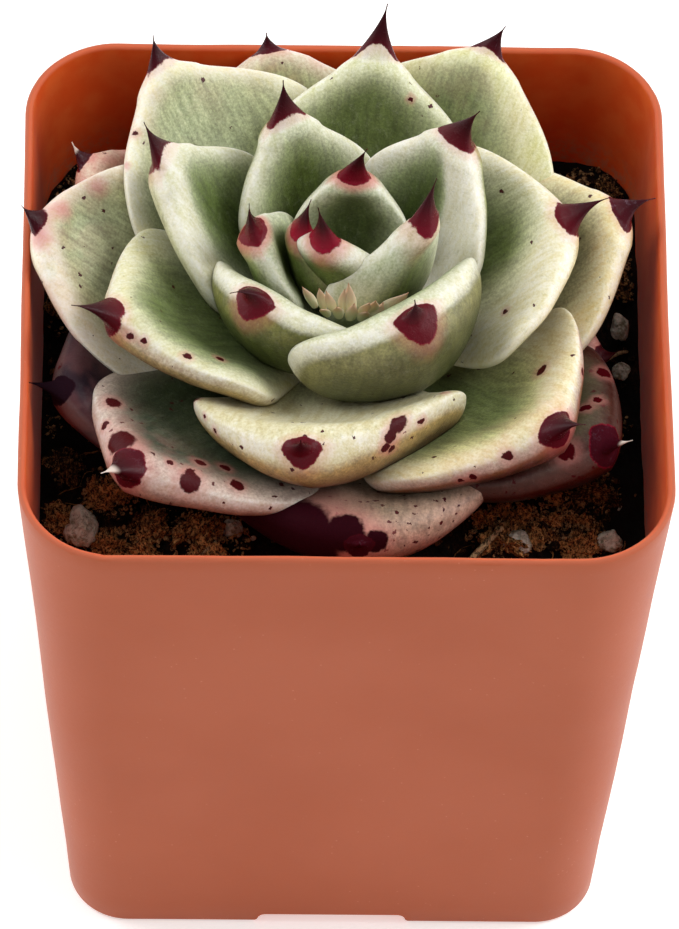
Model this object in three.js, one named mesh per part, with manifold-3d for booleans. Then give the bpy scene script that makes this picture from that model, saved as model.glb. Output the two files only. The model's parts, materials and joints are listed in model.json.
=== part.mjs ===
// Potted echeveria: a rosette of thick, thorn-tipped leaves on a short stem, in a small square plastic pot.
// Millimetres, +Z up. The origin is the middle of the pot's foot, at the level of the surface it stands on.
// Azimuths are degrees from +X (right) towards +Y (back); the front of the pot faces -Y.
import * as THREE from "three";
import { mergeVertices } from "three/addons/utils/BufferGeometryUtils.js";
import Module from "manifold-3d";

// Pot
const POT_HEIGHT = 58.6;
const RIM_HALF = 26.0; // half the outer width at the rim
const RIM_CORNER = 7.5; // radius of the rim's corners, seen from above
const RIM_THICKNESS = 0.65;
const FOOT_HALF = 22.1; // half the outer width at the foot
const FOOT_CORNER = 5.0;
const WALL = 0.8; // thickness of the wall at the floor
const FLOOR = 1.0;
const FOOT_RISE = 1.5; // height of the gap under the floor
const FOOT_BAND = 2.2; // width of the ring that the pot stands on
const FOOT_ROUND = 0.4; // rounding of its outer edge
const NOTCH_WIDTH = 12.4; // gap in the middle of each side's foot
const NOTCH_FLARE = 0.8; // how far its ends slope outwards
const NOTCH_HEIGHT = 1.35;
const DRAIN_RADIUS = 1.6;
const DRAIN_OFFSET = 9.0; // from the middle to each drain hole, along X and along Y
const CORNER_STEPS = 6;

// Soil
const SOIL_LEVEL = 45.5;
const SOIL_SIDE_STEPS = 4; // points along each straight side
const SOIL_RINGS = 7; // rings from the wall to the middle
const CRUMB_HEIGHT = 0.9; // how far the crumbs rise and fall about the level

// Gap between a piece that gives way and the piece that it touches
const GAP = 0.3;

// Stem: where it stands, then radius and height from its buried end to its tip
const AXIS_X = 0.2;
const AXIS_Y = 2.0;
const STEM = [[2.4, 40.0], [3.0, 44.0], [3.2, 48.0], [2.7, 52.0], [1.7, 54.2]];
const STEM_TOP = 54.8;
const STEM_SIDES = 12;

// What every leaf shares. Shares are of its length, width or thickness
const WIDEST_AT = 0.55;
const BASE_WIDTH = 0.42;
const PINCH = 0.4; // how much the margins draw in where they run into the thorn
const PINCH_REACH = 0.1; // share of the length over which they do
const BASE_THICKNESS = 0.62;
const THINNING = 0.22; // loss of thickness from the middle to the apex
const MARGIN_POWER = 2.5; // 2 makes the section an ellipse, more makes it squarer
const UPPER_SHARE = 0.42; // part of the thickness above the midrib
const CHANNEL = 0.22; // hollow along the upper side
const KEEL = 0.12; // ridge along the under side
const THORN_SEAT = 1.2; // how far the thorn's foot reaches back into the leaf
const THORN_TIP = 0.3; // radius of its tip
const LEAF_SIDES = 10; // points round a section
const BODY_STATIONS = [0, 0.2, 0.38, 0.54, 0.68, 0.8, 0.89, 0.95, 0.985];
const THORN_STATIONS = [0, 0.3, 0.62, 1];

// Leaves from the heart outwards, in millimetres and degrees.
// azimuth: where it points. reach, apex: the apex's distance from the stem's axis, and its height.
// start, base: the same for the leaf's foot. width, thick: largest width and thickness.
// bow: sag of the midrib below its chord. cup: rise of the margins, as a share of half the width.
// roll: turn about the midrib. sway: sideways bend. blunt: 0.5 rounds the apex, 1 makes it a wedge.
// shoulder: how close to the apex the blade stays wide, more being closer.
// thorn, seat: the thorn's length and the radius of its foot. hook, lean: its bend upwards and sideways.
const ANY = { roll: 0, sway: 0, shoulder: 1.9, blunt: 0.66, hook: 0.6, lean: 0, seat: 2.5 };
const HEART = { ...ANY, start: 1.6, bow: 0.5, cup: 0.3, seat: 2.0, color: "#aeb888" };
const INNER = { ...ANY, start: 2.6, bow: 1.0, cup: 0.25, color: "#bcc29b" };
const MIDDLE = { ...ANY, start: 3.0, bow: 1.6, cup: 0.22, color: "#c2c3a2" };
const OUTER = { ...ANY, start: 3.0, bow: 1.8, cup: 0.2, color: "#b7a58c" };
const LOWEST = { ...ANY, start: 3.0, bow: 1.6, cup: 0.2, seat: 1.9, color: "#6b2f37" };
const LEAVES = [
  {
    ...HEART, azimuth: 250, reach: 2.3, apex: 65.8, start: 0, base: 57, width: 8.8, thick: 2.8,
    sway: -1.3, thorn: 4, hook: 0, lean: -0.6,
  },
  {
    ...HEART, azimuth: 215, reach: 3, apex: 64.8, start: 1.2, base: 55, width: 7, thick: 2.6,
    sway: -2.1, thorn: 3.4,
  },
  {
    ...HEART, azimuth: 86, reach: 4.8, apex: 65.6, base: 54, width: 9.6, thick: 3.4,
    thorn: 3.8, lean: -1,
  },
  {
    ...HEART, azimuth: 182, reach: 7.5, apex: 65, base: 54, width: 9, thick: 3.6,
    thorn: 3.4,
  },
  {
    ...HEART, azimuth: 300, reach: 3.4, apex: 67.2, start: 2.4, base: 53.6, width: 10, thick: 2.8,
    sway: 4.8, blunt: 0.9, thorn: 4, hook: 0, lean: 1.2,
  },
  {
    ...INNER, azimuth: 226, reach: 9.9, apex: 64.6, base: 53, width: 14.6, thick: 5, cup: 0.32,
    roll: 9, sway: -0.8, thorn: 2.2, hook: -1.6, lean: -0.8,
  },
  {
    ...INNER, azimuth: 299, reach: 10.4, apex: 65.7, base: 52.5, width: 17.6, thick: 6.8, cup: 0.35,
    roll: 3, shoulder: 2.3, blunt: 0.45, thorn: 1.8,
  },
  {
    ...INNER, azimuth: 116, reach: 11.4, apex: 65.8, base: 52.5, width: 12.8, thick: 4.2,
    roll: 6, blunt: 0.8, thorn: 4.2,
  },
  {
    ...INNER, azimuth: 35, reach: 11.8, apex: 66, base: 52, width: 13, thick: 4.4, cup: 0.34,
    roll: 12, sway: 2, thorn: 4, hook: 0, lean: -1.2,
  },
  {
    ...INNER, azimuth: 160, reach: 16.2, apex: 64.8, base: 52, width: 13.4, thick: 4.6, cup: 0.36,
    sway: -1.6, thorn: 4.2,
  },
  {
    ...MIDDLE, azimuth: 199.1, reach: 19.7, apex: 62.1, base: 52.2, width: 19.5, thick: 4.6, cup: 0.24,
    bow: 0.8, roll: 8, shoulder: 2.1, blunt: 0.71, thorn: 4.4, hook: -0.4,
  },
  {
    ...MIDDLE, azimuth: 13.9, reach: 17.7, apex: 62.7, base: 51.5, width: 21.2, thick: 4.4, cup: 0.31,
    bow: 0.7, roll: -1, sway: -1.4, shoulder: 2.35, blunt: 0.64, thorn: 3.6, hook: -1.2,
  },
  {
    ...MIDDLE, azimuth: 268.5, reach: 19.2, apex: 61.6, base: 50.5, width: 21.7, thick: 6.2, cup: 0.31,
    roll: 3.7, sway: -3.4, shoulder: 1.7, blunt: 0.59, thorn: 1.8,
  },
  {
    ...MIDDLE, azimuth: 83, reach: 18.7, apex: 63.6, base: 50.5, width: 18, thick: 4.8,
    blunt: 0.74, thorn: 4.8, lean: -0.6,
  },
  {
    ...OUTER, azimuth: 131.4, reach: 23.5, apex: 62.7, base: 50, width: 20.4, thick: 4, cup: 0.31,
    sway: -0.5, shoulder: 2.3, blunt: 0.82, thorn: 2.8, lean: -0.4,
  },
  {
    ...OUTER, azimuth: 227.3, reach: 26, apex: 59.2, base: 49.5, width: 21.3, thick: 5.1, cup: 0.11,
    roll: 2, sway: 0.3, shoulder: 2.1, blunt: 0.71, thorn: 3.8, hook: -0.3,
  },
  {
    ...OUTER, azimuth: 315.2, reach: 22.9, apex: 60.6, base: 49.5, width: 22.4, thick: 5.2, cup: 0.25,
    roll: 4, shoulder: 2, blunt: 0.77, thorn: 3, hook: -0.5, lean: 0.8,
  },
  {
    ...OUTER, azimuth: 57.7, reach: 22.7, apex: 62.9, base: 50, width: 20, thick: 4.5, cup: 0.31,
    roll: 10, sway: 0.9, shoulder: 2.2, blunt: 0.68, thorn: 2.8, lean: -0.8,
  },
  {
    ...OUTER, azimuth: 172.7, reach: 25, apex: 60.7, base: 49.5, width: 19.5, thick: 3.8, cup: 0.25,
    roll: -11, sway: -0.4, shoulder: 2.4, blunt: 0.54, thorn: 1.2, hook: 0.1,
  },
  {
    ...OUTER, azimuth: 14, reach: 22.7, apex: 60.3, base: 49.5, width: 19.4, thick: 4.8, cup: 0.17,
    roll: 7.5, shoulder: 2.05, blunt: 0.72, thorn: 2.6, hook: -1.4,
  },
  {
    ...OUTER, azimuth: 106, reach: 23.2, apex: 59.8, base: 49.5, width: 20.5, thick: 4.4,
    roll: -16, thorn: 1.4,
  },
  {
    ...LOWEST, azimuth: 151, reach: 24.3, apex: 58.2, base: 49, width: 16, thick: 4.2,
    thorn: 2,
  },
  {
    ...LOWEST, azimuth: 204, reach: 25.2, apex: 56.8, base: 49, width: 21, thick: 4.2,
    roll: -10, thorn: 2.6, hook: -0.6, lean: -1.2,
  },
  {
    ...LOWEST, azimuth: 325, reach: 25.5, apex: 56.6, base: 49, width: 18.9, thick: 6.5, cup: 0.13,
    roll: -2.6, sway: -0.4, shoulder: 2, blunt: 0.63, thorn: 2.4, hook: 0.2, lean: 0.5,
  },
  {
    ...LOWEST, azimuth: 272, reach: 23.4, apex: 54.6, base: 49, width: 23.6, thick: 6.6, cup: 0.15,
    bow: 1, blunt: 0.42, thorn: 1.2,
  },
  {
    ...LOWEST, azimuth: 72, reach: 21, apex: 54.5, base: 48.5, width: 16, thick: 4,
    bow: 0.8, thorn: 2,
  },
  {
    ...LOWEST, azimuth: 350, reach: 21, apex: 53, base: 48.2, width: 14, thick: 3.6,
    bow: 0.6, thorn: 1.6,
  },
];

// Flower bud: a low tuft of papery scales in the fork between the heart and the front leaves
const BUD_X = 0.4;
const BUD_Y = -2.6;
const BUD_TOP = 61.2;
const BUD_STALK = [[1.1, 56.5], [1.3, 58.5], [1.5, 60.8]];
const SCALES = 9;
const SCALE_LENGTH = [3.0, 3.8]; // every other scale is longer
const SCALE_WIDTH = 1.9;
const SCALE_THICKNESS = 0.9;
const SCALE_LEAN = 50; // degrees from upright

// Perlite lumps on the soil: place, size and turn
const PERLITE = [
  { x: -21.0, y: -14.2, size: [1.4, 1.9, 1.3], turn: 20 },
  { x: -8.9, y: -14.0, size: [1.0, 0.8, 0.8], turn: 75 },
  { x: 22.8, y: 6.4, size: [0.8, 1.3, 1.0], turn: 10 },
  { x: 22.8, y: 2.1, size: [0.8, 0.7, 0.7], turn: 50 },
  { x: 21.4, y: -14.9, size: [1.2, 0.9, 0.8], turn: 130 },
  { x: 14.0, y: -15.2, size: [1.1, 1.3, 0.9], turn: 95 },
];

const PALETTE = {
  pot: { color: "#a85c44", roughness: 0.5 },
  soil: { color: "#2a1a12", roughness: 1.0 },
  stem: { color: "#6a5a44", roughness: 0.9 },
  bud: { color: "#e2c8a4", roughness: 0.8 },
  perlite: { color: "#c9c4b4", roughness: 0.9 },
};

const wasm = await Module();
wasm.setup();

const radians = THREE.MathUtils.degToRad;
const { smoothstep, clamp, lerp } = THREE.MathUtils;

// A closed skin through rings of points, each ring counter-clockwise about the way the rings run
function loft(rings) {
  const sides = rings[0].length;
  const last = (rings.length - 1) * sides;
  const positions = rings.flat().flatMap((point) => point.toArray());
  const faces = [];
  for (let ring = 0; ring < rings.length - 1; ring += 1) {
    for (let side = 0; side < sides; side += 1) {
      const a = ring * sides + side;
      const b = ring * sides + ((side + 1) % sides);
      faces.push(a, b, b + sides, a, b + sides, a + sides);
    }
  }
  const middles = [rings[0], rings.at(-1)].map(middleOf);
  middles.forEach((middle) => positions.push(...middle.toArray()));
  const firstMiddle = rings.length * sides;
  for (let side = 0; side < sides; side += 1) {
    const next = (side + 1) % sides;
    faces.push(firstMiddle, next, side);
    faces.push(firstMiddle + 1, last + side, last + next);
  }
  const geometry = new THREE.BufferGeometry();
  geometry.setAttribute("position", new THREE.Float32BufferAttribute(positions, 3));
  geometry.setIndex(faces);
  return geometry;
}

function middleOf(points) {
  const middle = new THREE.Vector3();
  points.forEach((point) => middle.add(point));
  return middle.divideScalar(points.length);
}

function solidOf(geometry) {
  const bare = geometry.clone();
  bare.deleteAttribute("normal");
  bare.deleteAttribute("uv");
  const merged = mergeVertices(bare, 1e-4);
  return new wasm.Manifold(
    new wasm.Mesh({
      numProp: 3,
      vertProperties: new Float32Array(merged.attributes.position.array),
      triVerts: new Uint32Array(merged.index.array),
    }),
  );
}

function geometryOf(solid) {
  const mesh = solid.getMesh();
  const geometry = new THREE.BufferGeometry();
  geometry.setAttribute("position", new THREE.BufferAttribute(mesh.vertProperties, 3));
  geometry.setIndex(new THREE.BufferAttribute(mesh.triVerts, 1));
  geometry.computeVertexNormals();
  return geometry;
}

// What is left of a piece after its neighbours, without the crumbs that a cut can leave
function cutBy(solid, cutters) {
  const rest = cutters.reduce((body, cutter) => body.subtract(cutter), solid);
  const bodies = rest.decompose();
  return bodies.reduce((best, body) => (body.volume() > best.volume() ? body : best));
}

function meshOf(name, solid, look) {
  const material = new THREE.MeshStandardMaterial({ metalness: 0, ...look });
  const mesh = new THREE.Mesh(geometryOf(solid), material);
  mesh.name = name;
  return mesh;
}

// A square with round corners, counter-clockwise from above, with extra points along its sides
function roundedSquare(half, corner, z, sideSteps = 1) {
  const points = [];
  for (let quarter = 0; quarter < 4; quarter += 1) {
    const turn = quarter * 90;
    const centre = new THREE.Vector2(half - corner, half - corner);
    centre.rotateAround(new THREE.Vector2(), radians(turn));
    for (let step = 0; step <= CORNER_STEPS; step += 1) {
      const angle = radians(turn + (90 * step) / CORNER_STEPS);
      const x = centre.x + corner * Math.cos(angle);
      const y = centre.y + corner * Math.sin(angle);
      points.push(new THREE.Vector3(x, y, z));
    }
    const from = points.at(-1);
    const to = from.clone().add(new THREE.Vector3(-Math.cos(radians(turn)), -Math.sin(radians(turn)), 0)
      .multiplyScalar(2 * (half - corner)));
    for (let step = 1; step < sideSteps; step += 1) {
      points.push(from.clone().lerp(to, step / sideSteps));
    }
  }
  return points;
}

const outerHalf = (z) => lerp(FOOT_HALF, RIM_HALF, z / POT_HEIGHT);
const outerCorner = (z) => lerp(FOOT_CORNER, RIM_CORNER, z / POT_HEIGHT);
const wallAt = (z) => lerp(WALL, RIM_THICKNESS, z / POT_HEIGHT);
function wallRing(inset, z, sideSteps) {
  return roundedSquare(outerHalf(z) - inset, outerCorner(z) - inset, z, sideSteps);
}

// The pot with its walls moved out by a gap, so that it can also cut what comes too near
function potBody(gap = 0) {
  const floorTop = FOOT_RISE + FLOOR;
  const lip = RIM_THICKNESS / 3;
  return solidOf(
    loft([
      wallRing(FOOT_BAND, FOOT_RISE),
      wallRing(FOOT_BAND, 0),
      wallRing(FOOT_ROUND, 0),
      wallRing(0, FOOT_ROUND),
      wallRing(-gap, POT_HEIGHT - lip),
      wallRing(lip - gap, POT_HEIGHT + gap),
      wallRing(RIM_THICKNESS - lip + gap, POT_HEIGHT + gap),
      wallRing(RIM_THICKNESS + gap, POT_HEIGHT - lip),
      wallRing(wallAt(floorTop) + gap, floorTop + gap),
    ]),
  );
}

// One notch cutter runs along X or Y and opens the foot at both ends
function notchCutter() {
  const half = NOTCH_WIDTH / 2;
  const outline = new THREE.Shape();
  outline.moveTo(-half - NOTCH_FLARE, -1);
  outline.lineTo(half + NOTCH_FLARE, -1);
  outline.lineTo(half + NOTCH_FLARE, 0);
  outline.lineTo(half, NOTCH_HEIGHT);
  outline.lineTo(-half, NOTCH_HEIGHT);
  outline.lineTo(-half - NOTCH_FLARE, 0);
  const length = 2 * RIM_HALF;
  const bar = new THREE.ExtrudeGeometry(outline, { depth: length, bevelEnabled: false });
  return bar.translate(0, 0, -length / 2).rotateX(Math.PI / 2);
}

function pot() {
  const cutters = [notchCutter(), notchCutter().rotateZ(Math.PI / 2)];
  for (const x of [-DRAIN_OFFSET, DRAIN_OFFSET]) {
    for (const y of [-DRAIN_OFFSET, DRAIN_OFFSET]) {
      const drill = new THREE.CylinderGeometry(DRAIN_RADIUS, DRAIN_RADIUS, 4 * FLOOR, 16);
      drill.rotateX(Math.PI / 2);
      cutters.push(drill.translate(x, y, FOOT_RISE + FLOOR / 2));
    }
  }
  return cutBy(potBody(), cutters.map(solidOf));
}

// Repeatable random numbers from 0 to 1
function seeded(seed) {
  let state = seed;
  return () => {
    state = (state * 16807) % 2147483647;
    return state / 2147483647;
  };
}

function soilBody() {
  const random = seeded(11);
  const bottom = FOOT_RISE + FLOOR + GAP;
  const crumble = (point) => point.setZ(point.z + CRUMB_HEIGHT * (2 * random() - 1));
  const edge = wallRing(wallAt(SOIL_LEVEL) + GAP, SOIL_LEVEL, SOIL_SIDE_STEPS);
  const rings = [wallRing(wallAt(bottom) + GAP, bottom, SOIL_SIDE_STEPS), edge];
  for (let ring = 1; ring < SOIL_RINGS; ring += 1) {
    const share = 1 - ring / SOIL_RINGS;
    rings.push(edge.map((point) => crumble(new THREE.Vector3(point.x * share, point.y * share, point.z))));
  }
  return solidOf(loft(rings));
}

// A turned body standing on the stem's axis or on the bud's, grown by a gap where it is a cutter
function turned(profile, top, x, y, gap = 0) {
  const foot = profile[0][1];
  const points = profile.map(([radius, z]) => new THREE.Vector2(radius + gap, z === foot ? z - gap : z));
  const closed = [new THREE.Vector2(0, foot - gap), ...points, new THREE.Vector2(0, top + gap)];
  return solidOf(new THREE.LatheGeometry(closed, STEM_SIDES).rotateX(Math.PI / 2).translate(x, y, 0));
}

// Half the width of a leaf's blade at a share of its length
function bladeHalf(leaf, share) {
  const spread = lerp(BASE_WIDTH, 1, smoothstep(share, 0, WIDEST_AT));
  const past = clamp((share - WIDEST_AT) / (1 - WIDEST_AT), 0, 1);
  const pinch = 1 - PINCH * Math.exp((share - 1) / PINCH_REACH);
  return (leaf.width / 2) * spread * pinch * (1 - past ** leaf.shoulder) ** leaf.blunt;
}

// Thickness of the blade, which closes in a round end over the last half thickness
function bladeThickness(leaf, share, length) {
  const swell = lerp(BASE_THICKNESS, 1, smoothstep(share, 0, 0.45));
  const taper = 1 - THINNING * smoothstep(share, 0.45, 0.95);
  const roundFrom = 1 - Math.min(0.5, (0.5 * leaf.thick) / length);
  const past = clamp((share - roundFrom) / (1 - roundFrom), 0, 1);
  return leaf.thick * swell * taper * Math.sqrt(1 - past ** 2.2);
}

// Radius of the thorn at a distance past the apex; it flares into the blade behind it
function thornRadius(leaf, past) {
  const along = clamp((past + THORN_SEAT) / (leaf.thorn + THORN_SEAT), 0, 1);
  return Math.max(THORN_TIP, leaf.seat * (1 - along) ** 1.7) * smoothstep(past, -2.8, -0.8);
}

const blend = (a, b, power) => (a ** power + b ** power) ** (1 / power);

// Rings of points round a leaf, from its foot to the thorn's tip, grown by a gap where it is a cutter
function leafRings(leaf, gap, axisX, axisY) {
  const foot = new THREE.Vector2(leaf.start, leaf.base);
  const apex = new THREE.Vector2(leaf.reach, leaf.apex);
  const chord = apex.clone().sub(foot);
  const length = chord.length();
  const sag = new THREE.Vector2(chord.y, -chord.x).setLength(2 * leaf.bow);
  const bend = foot.clone().add(apex).multiplyScalar(0.5).add(sag);
  const azimuth = radians(leaf.azimuth);
  const out = new THREE.Vector3(Math.cos(azimuth), Math.sin(azimuth), 0);
  const side = new THREE.Vector3(-Math.sin(azimuth), Math.cos(azimuth), 0);
  const up = new THREE.Vector3(0, 0, 1);
  const stations = [
    ...BODY_STATIONS.map((share) => ({ share, past: (share - 1) * length, thorn: 0 })),
    ...THORN_STATIONS.map((thorn) => ({ share: 1, past: thorn * leaf.thorn, thorn })),
  ];
  return stations.map(({ share, past, thorn }, index) => {
    const rest = 1 - share;
    const place = foot.clone().multiplyScalar(rest ** 2)
      .addScaledVector(bend, 2 * share * rest)
      .addScaledVector(apex, share ** 2);
    const along = bend.clone().sub(foot).multiplyScalar(rest)
      .addScaledVector(apex.clone().sub(bend), share)
      .normalize();
    const over = new THREE.Vector2(-along.y, along.x);
    const endGap = gap * ((index === stations.length - 1) - (index === 0));
    place.addScaledVector(along, Math.max(0, past) + endGap).addScaledVector(over, leaf.hook * thorn ** 2);
    const radius = thornRadius(leaf, past);
    const half = blend(bladeHalf(leaf, share), radius, 3) + gap;
    const thick = blend(bladeThickness(leaf, share, length), 1.6 * radius, 6) + 2 * gap;
    const roll = radians(leaf.roll) * smoothstep(share, 0, 0.6);
    const channel = CHANNEL * thick * smoothstep(share, 0.05, 0.4) * (1 - smoothstep(share, 0.6, 0.99));
    const keel = KEEL * thick * smoothstep(share, 0.2, 0.6);
    const cup = leaf.cup * (leaf.width / 2) * smoothstep(share, 0.1, 0.75);
    const middle = new THREE.Vector3(axisX, axisY, 0)
      .addScaledVector(out, place.x)
      .addScaledVector(up, place.y)
      .addScaledVector(side, leaf.sway * share ** 2 + leaf.lean * thorn ** 1.3);
    const normal = out.clone().multiplyScalar(over.x).addScaledVector(up, over.y);
    const ring = [];
    for (let point = 0; point < LEAF_SIDES; point += 1) {
      const angle = (2 * Math.PI * point) / LEAF_SIDES;
      const across = Math.sign(Math.cos(angle)) * Math.abs(Math.cos(angle)) ** (2 / MARGIN_POWER);
      const rise = Math.sign(Math.sin(angle)) * Math.abs(Math.sin(angle)) ** (2 / MARGIN_POWER);
      const x = half * across;
      let z = cup * (x / (leaf.width / 2)) ** 2;
      if (rise > 0) {
        z += UPPER_SHARE * thick * rise - channel * (1 - across ** 2) * rise;
      } else {
        z += (1 - UPPER_SHARE) * thick * rise - keel * (1 - Math.abs(across)) ** 1.5;
      }
      const turnedX = x * Math.cos(roll) - z * Math.sin(roll);
      const turnedZ = x * Math.sin(roll) + z * Math.cos(roll);
      ring.push(middle.clone().addScaledVector(side, turnedX).addScaledVector(normal, turnedZ));
    }
    return ring;
  });
}

const leafSolid = (leaf, gap = 0, x = AXIS_X, y = AXIS_Y) => solidOf(loft(leafRings(leaf, gap, x, y)));

// Leaves outside give way to the leaves inside them, and all of them to the stem and the pot
function leaves() {
  const grown = [turned(STEM, STEM_TOP, AXIS_X, AXIS_Y, GAP), potBody(GAP)];
  return LEAVES.map((leaf) => {
    const solid = cutBy(leafSolid(leaf), grown);
    grown.push(leafSolid(leaf, GAP));
    return solid;
  });
}

function budSolid() {
  let bud = turned(BUD_STALK, BUD_TOP, BUD_X, BUD_Y);
  for (let index = 0; index < SCALES; index += 1) {
    const length = SCALE_LENGTH[index % 2];
    const scale = new THREE.ConeGeometry(1, length, 6).translate(0, length / 2, 0).rotateX(Math.PI / 2);
    scale.scale(SCALE_THICKNESS / 2, SCALE_WIDTH / 2, 1).rotateY(radians(SCALE_LEAN));
    scale.rotateZ(radians((360 * index) / SCALES)).translate(BUD_X, BUD_Y, BUD_TOP - 0.5);
    bud = bud.add(solidOf(scale));
  }
  const neighbours = LEAVES.map((leaf) => leafSolid(leaf, GAP));
  return cutBy(bud, [...neighbours, turned(STEM, STEM_TOP, AXIS_X, AXIS_Y, GAP)]);
}

function perliteSolid({ x, y, size, turn }, gap = 0) {
  const lump = new THREE.IcosahedronGeometry(1, 0).scale(...size.map((extent) => extent + gap));
  return solidOf(lump.rotateZ(radians(turn)).translate(x, y, SOIL_LEVEL + 0.6 * size[2]));
}

const plant = new THREE.Group();
plant.add(meshOf("pot", pot(), PALETTE.pot));
const stemRoom = turned(STEM, STEM_TOP, AXIS_X, AXIS_Y, GAP);
const inSoil = [stemRoom, ...PERLITE.map((lump) => perliteSolid(lump, GAP))];
plant.add(meshOf("soil", cutBy(soilBody(), inSoil), PALETTE.soil));
plant.add(meshOf("stem", turned(STEM, STEM_TOP, AXIS_X, AXIS_Y), PALETTE.stem));
leaves().forEach((solid, index) => {
  const name = `leaf_${String(index + 1).padStart(2, "0")}`;
  plant.add(meshOf(name, solid, { color: LEAVES[index].color, roughness: 0.6 }));
});
plant.add(meshOf("flower_bud", budSolid(), PALETTE.bud));
PERLITE.forEach((lump, index) => {
  plant.add(meshOf(`perlite_${index + 1}`, perliteSolid(lump), PALETTE.perlite));
});

export default plant;
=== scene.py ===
"""Looks for a potted echeveria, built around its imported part.

Everything in the scene is in metres, in the part's frame: +Z up, the pot's front faces -Y.
Sizes below are in millimetres unless they say otherwise, and MM turns them into metres.
"""

import json
import math
import random

import bmesh
import bpy
import numpy as np
from mathutils import Matrix, Vector, noise
from mathutils.bvhtree import BVHTree


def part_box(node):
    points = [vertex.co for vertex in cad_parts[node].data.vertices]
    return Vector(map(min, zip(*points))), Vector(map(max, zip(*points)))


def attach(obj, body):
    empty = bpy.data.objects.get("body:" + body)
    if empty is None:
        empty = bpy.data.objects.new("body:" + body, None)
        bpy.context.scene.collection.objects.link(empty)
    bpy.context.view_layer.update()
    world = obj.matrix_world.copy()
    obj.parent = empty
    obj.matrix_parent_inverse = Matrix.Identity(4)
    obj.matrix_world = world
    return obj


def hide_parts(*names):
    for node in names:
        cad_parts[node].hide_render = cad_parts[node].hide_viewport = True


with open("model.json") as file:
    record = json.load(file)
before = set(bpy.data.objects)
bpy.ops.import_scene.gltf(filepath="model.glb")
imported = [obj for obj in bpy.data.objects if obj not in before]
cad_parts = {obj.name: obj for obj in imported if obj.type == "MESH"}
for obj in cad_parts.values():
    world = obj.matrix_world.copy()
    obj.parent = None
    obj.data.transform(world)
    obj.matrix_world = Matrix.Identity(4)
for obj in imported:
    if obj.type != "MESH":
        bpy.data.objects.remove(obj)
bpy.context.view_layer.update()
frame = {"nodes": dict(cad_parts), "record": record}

MM = 0.001

# Pot, as in the part
POT_HEIGHT = 58.6
RIM_HALF = 26.0
RIM_CORNER = 7.5
RIM_THICKNESS = 0.65
FOOT_HALF = 22.1
FOOT_CORNER = 5.0
WALL = 0.8
FLOOR = 1.0
FOOT_RISE = 1.5
FOOT_BAND = 2.2
NOTCH_WIDTH = 12.4
NOTCH_HEIGHT = 1.35
NOTCH_ROUND = 0.7
DRAIN_RADIUS = 1.6
DRAIN_OFFSET = 9.0
CORNER_STEPS = 18
SIDE_STEPS = 24
DUST_TOP = 50.0  # how high soil dust reaches on the wall's inner face

# Soil, as in the part, and what lies on it
SOIL_LEVEL = 45.5
SOIL_RINGS = 70
GAP = 0.3
SOIL_CLEAR = 0.06
CRUMBS = 1500
CLOD_CRUMBS = 3400
FIBRES = 260

# Stem axis, as in the part
AXIS = Vector((0.2, 2.0, 0.0))

# What every leaf shares, as in the part, with finer sections
WIDEST_AT = 0.55
PINCH = 0.4  # how much the margins draw in where they run into the thorn
PINCH_REACH = 0.1  # share of the length over which they do
BASE_WIDTH = 0.42
BASE_THICKNESS = 0.62
THINNING = 0.22
MARGIN_POWER = 2.5
ABOVE_ACROSS, ABOVE_RISE = 0.92, 1.2  # less full above than below, so that the margins look fine
UPPER_SHARE = 0.42
CHANNEL = 0.22
KEEL = 0.12
INSET_SOFT = 0.8  # how softly the margins' bands run into the apex's
THORN_SEAT = 1.2
THORN_TIP = 0.05
BODY_STEPS = 64
THORN_STEPS = 22
LEAF_SIDES = 72
CONTACT = 0.03  # space kept between touching leaves

# Camera, fitted to the pot's outline in the photograph
PHOTO_HEIGHT = 929
FOCAL_PIXELS = 8325.0
CAMERA_ELEVATION = 54.29
CAMERA_YAW = -2.1
CAMERA_ROLL = 2.2
CAMERA_DISTANCE = 692.8
CAMERA_TARGET = Vector((0.19, 4.09, 29.8))


def look(**changes):
    """What a leaf's shape and colours start from, with changes."""
    start = dict(start=3, bow=1.6, cup=0.31, roll=0, sway=0, shoulder=1.9, blunt=0.66, hook=0.6, lean=0,
                 seat=2.5, awn=0, under_band=(0.4, 2.6), deep_band=(2.4, 6), apex_band=(0.6, 1.6), lop=0,
                 lop_below=False, wide=0.66, glow="#5a0c18", rim="#7c1228", tip="#34050e", stain="#46080f",
                 halo=0.25, edge=0.4, flecks=1, bloom=0, needle=False, shine=0.38, hollow=0.68, freckles=0,
                 blush=0, spots=(), patches=())
    return {**start, **changes}


HEART = look(
    start=1.6, bow=0.5, cup=0.3, seat=2, green="#5c6c34", sage="#98a276", cream="#ced2b6",
    under="#929a70", deep="#66763a", band=(0.2, 2.4), under_band=(0.1, 0.9), deep_band=(1.2, 4), halo=0.55)
INNER = look(
    start=2.6, bow=1, cup=0.25, green="#5a6a36", sage="#9ea87c", cream="#dadabe", under="#959a68",
    deep="#565e30", band=(0.3, 4.2), under_band=(0.2, 1.8), wide=0.7)
MIDDLE = look(
    green="#6e7c4a", sage="#a8ae82", cream="#e2deba", under="#c9ba8a", deep="#7c6a40",
    band=(0.3, 5.2), freckles=0.25)
OUTER = look(
    bow=1.8, sage="#b0b488", under="#b0946e", deep="#623a2e", band=(0.3, 5), patch=(0.5, 1.6),
    wide=0.7, glow="#4c0c18", bloom=0.1, freckles=0.35, blush=0.2)
LOWEST = look(
    cup=0.2, seat=1.9, green="#8c7c62", sage="#a08c78", cream="#c9a294", under="#5c221e",
    deep="#340808", band=(0.3, 3.2), patch=(1, 2.2), glow="#40101a", edge=0.05, bloom=0.12, freckles=0.8,
    blush=0.1)

# What a row of the leaves starts with: where a leaf points, in degrees, then how far out and how high its
# apex is, the height of its foot, its width, its thickness and its thorn's length
SIZES = ("azimuth", "reach", "apex", "base", "width", "thick", "thorn")


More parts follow.
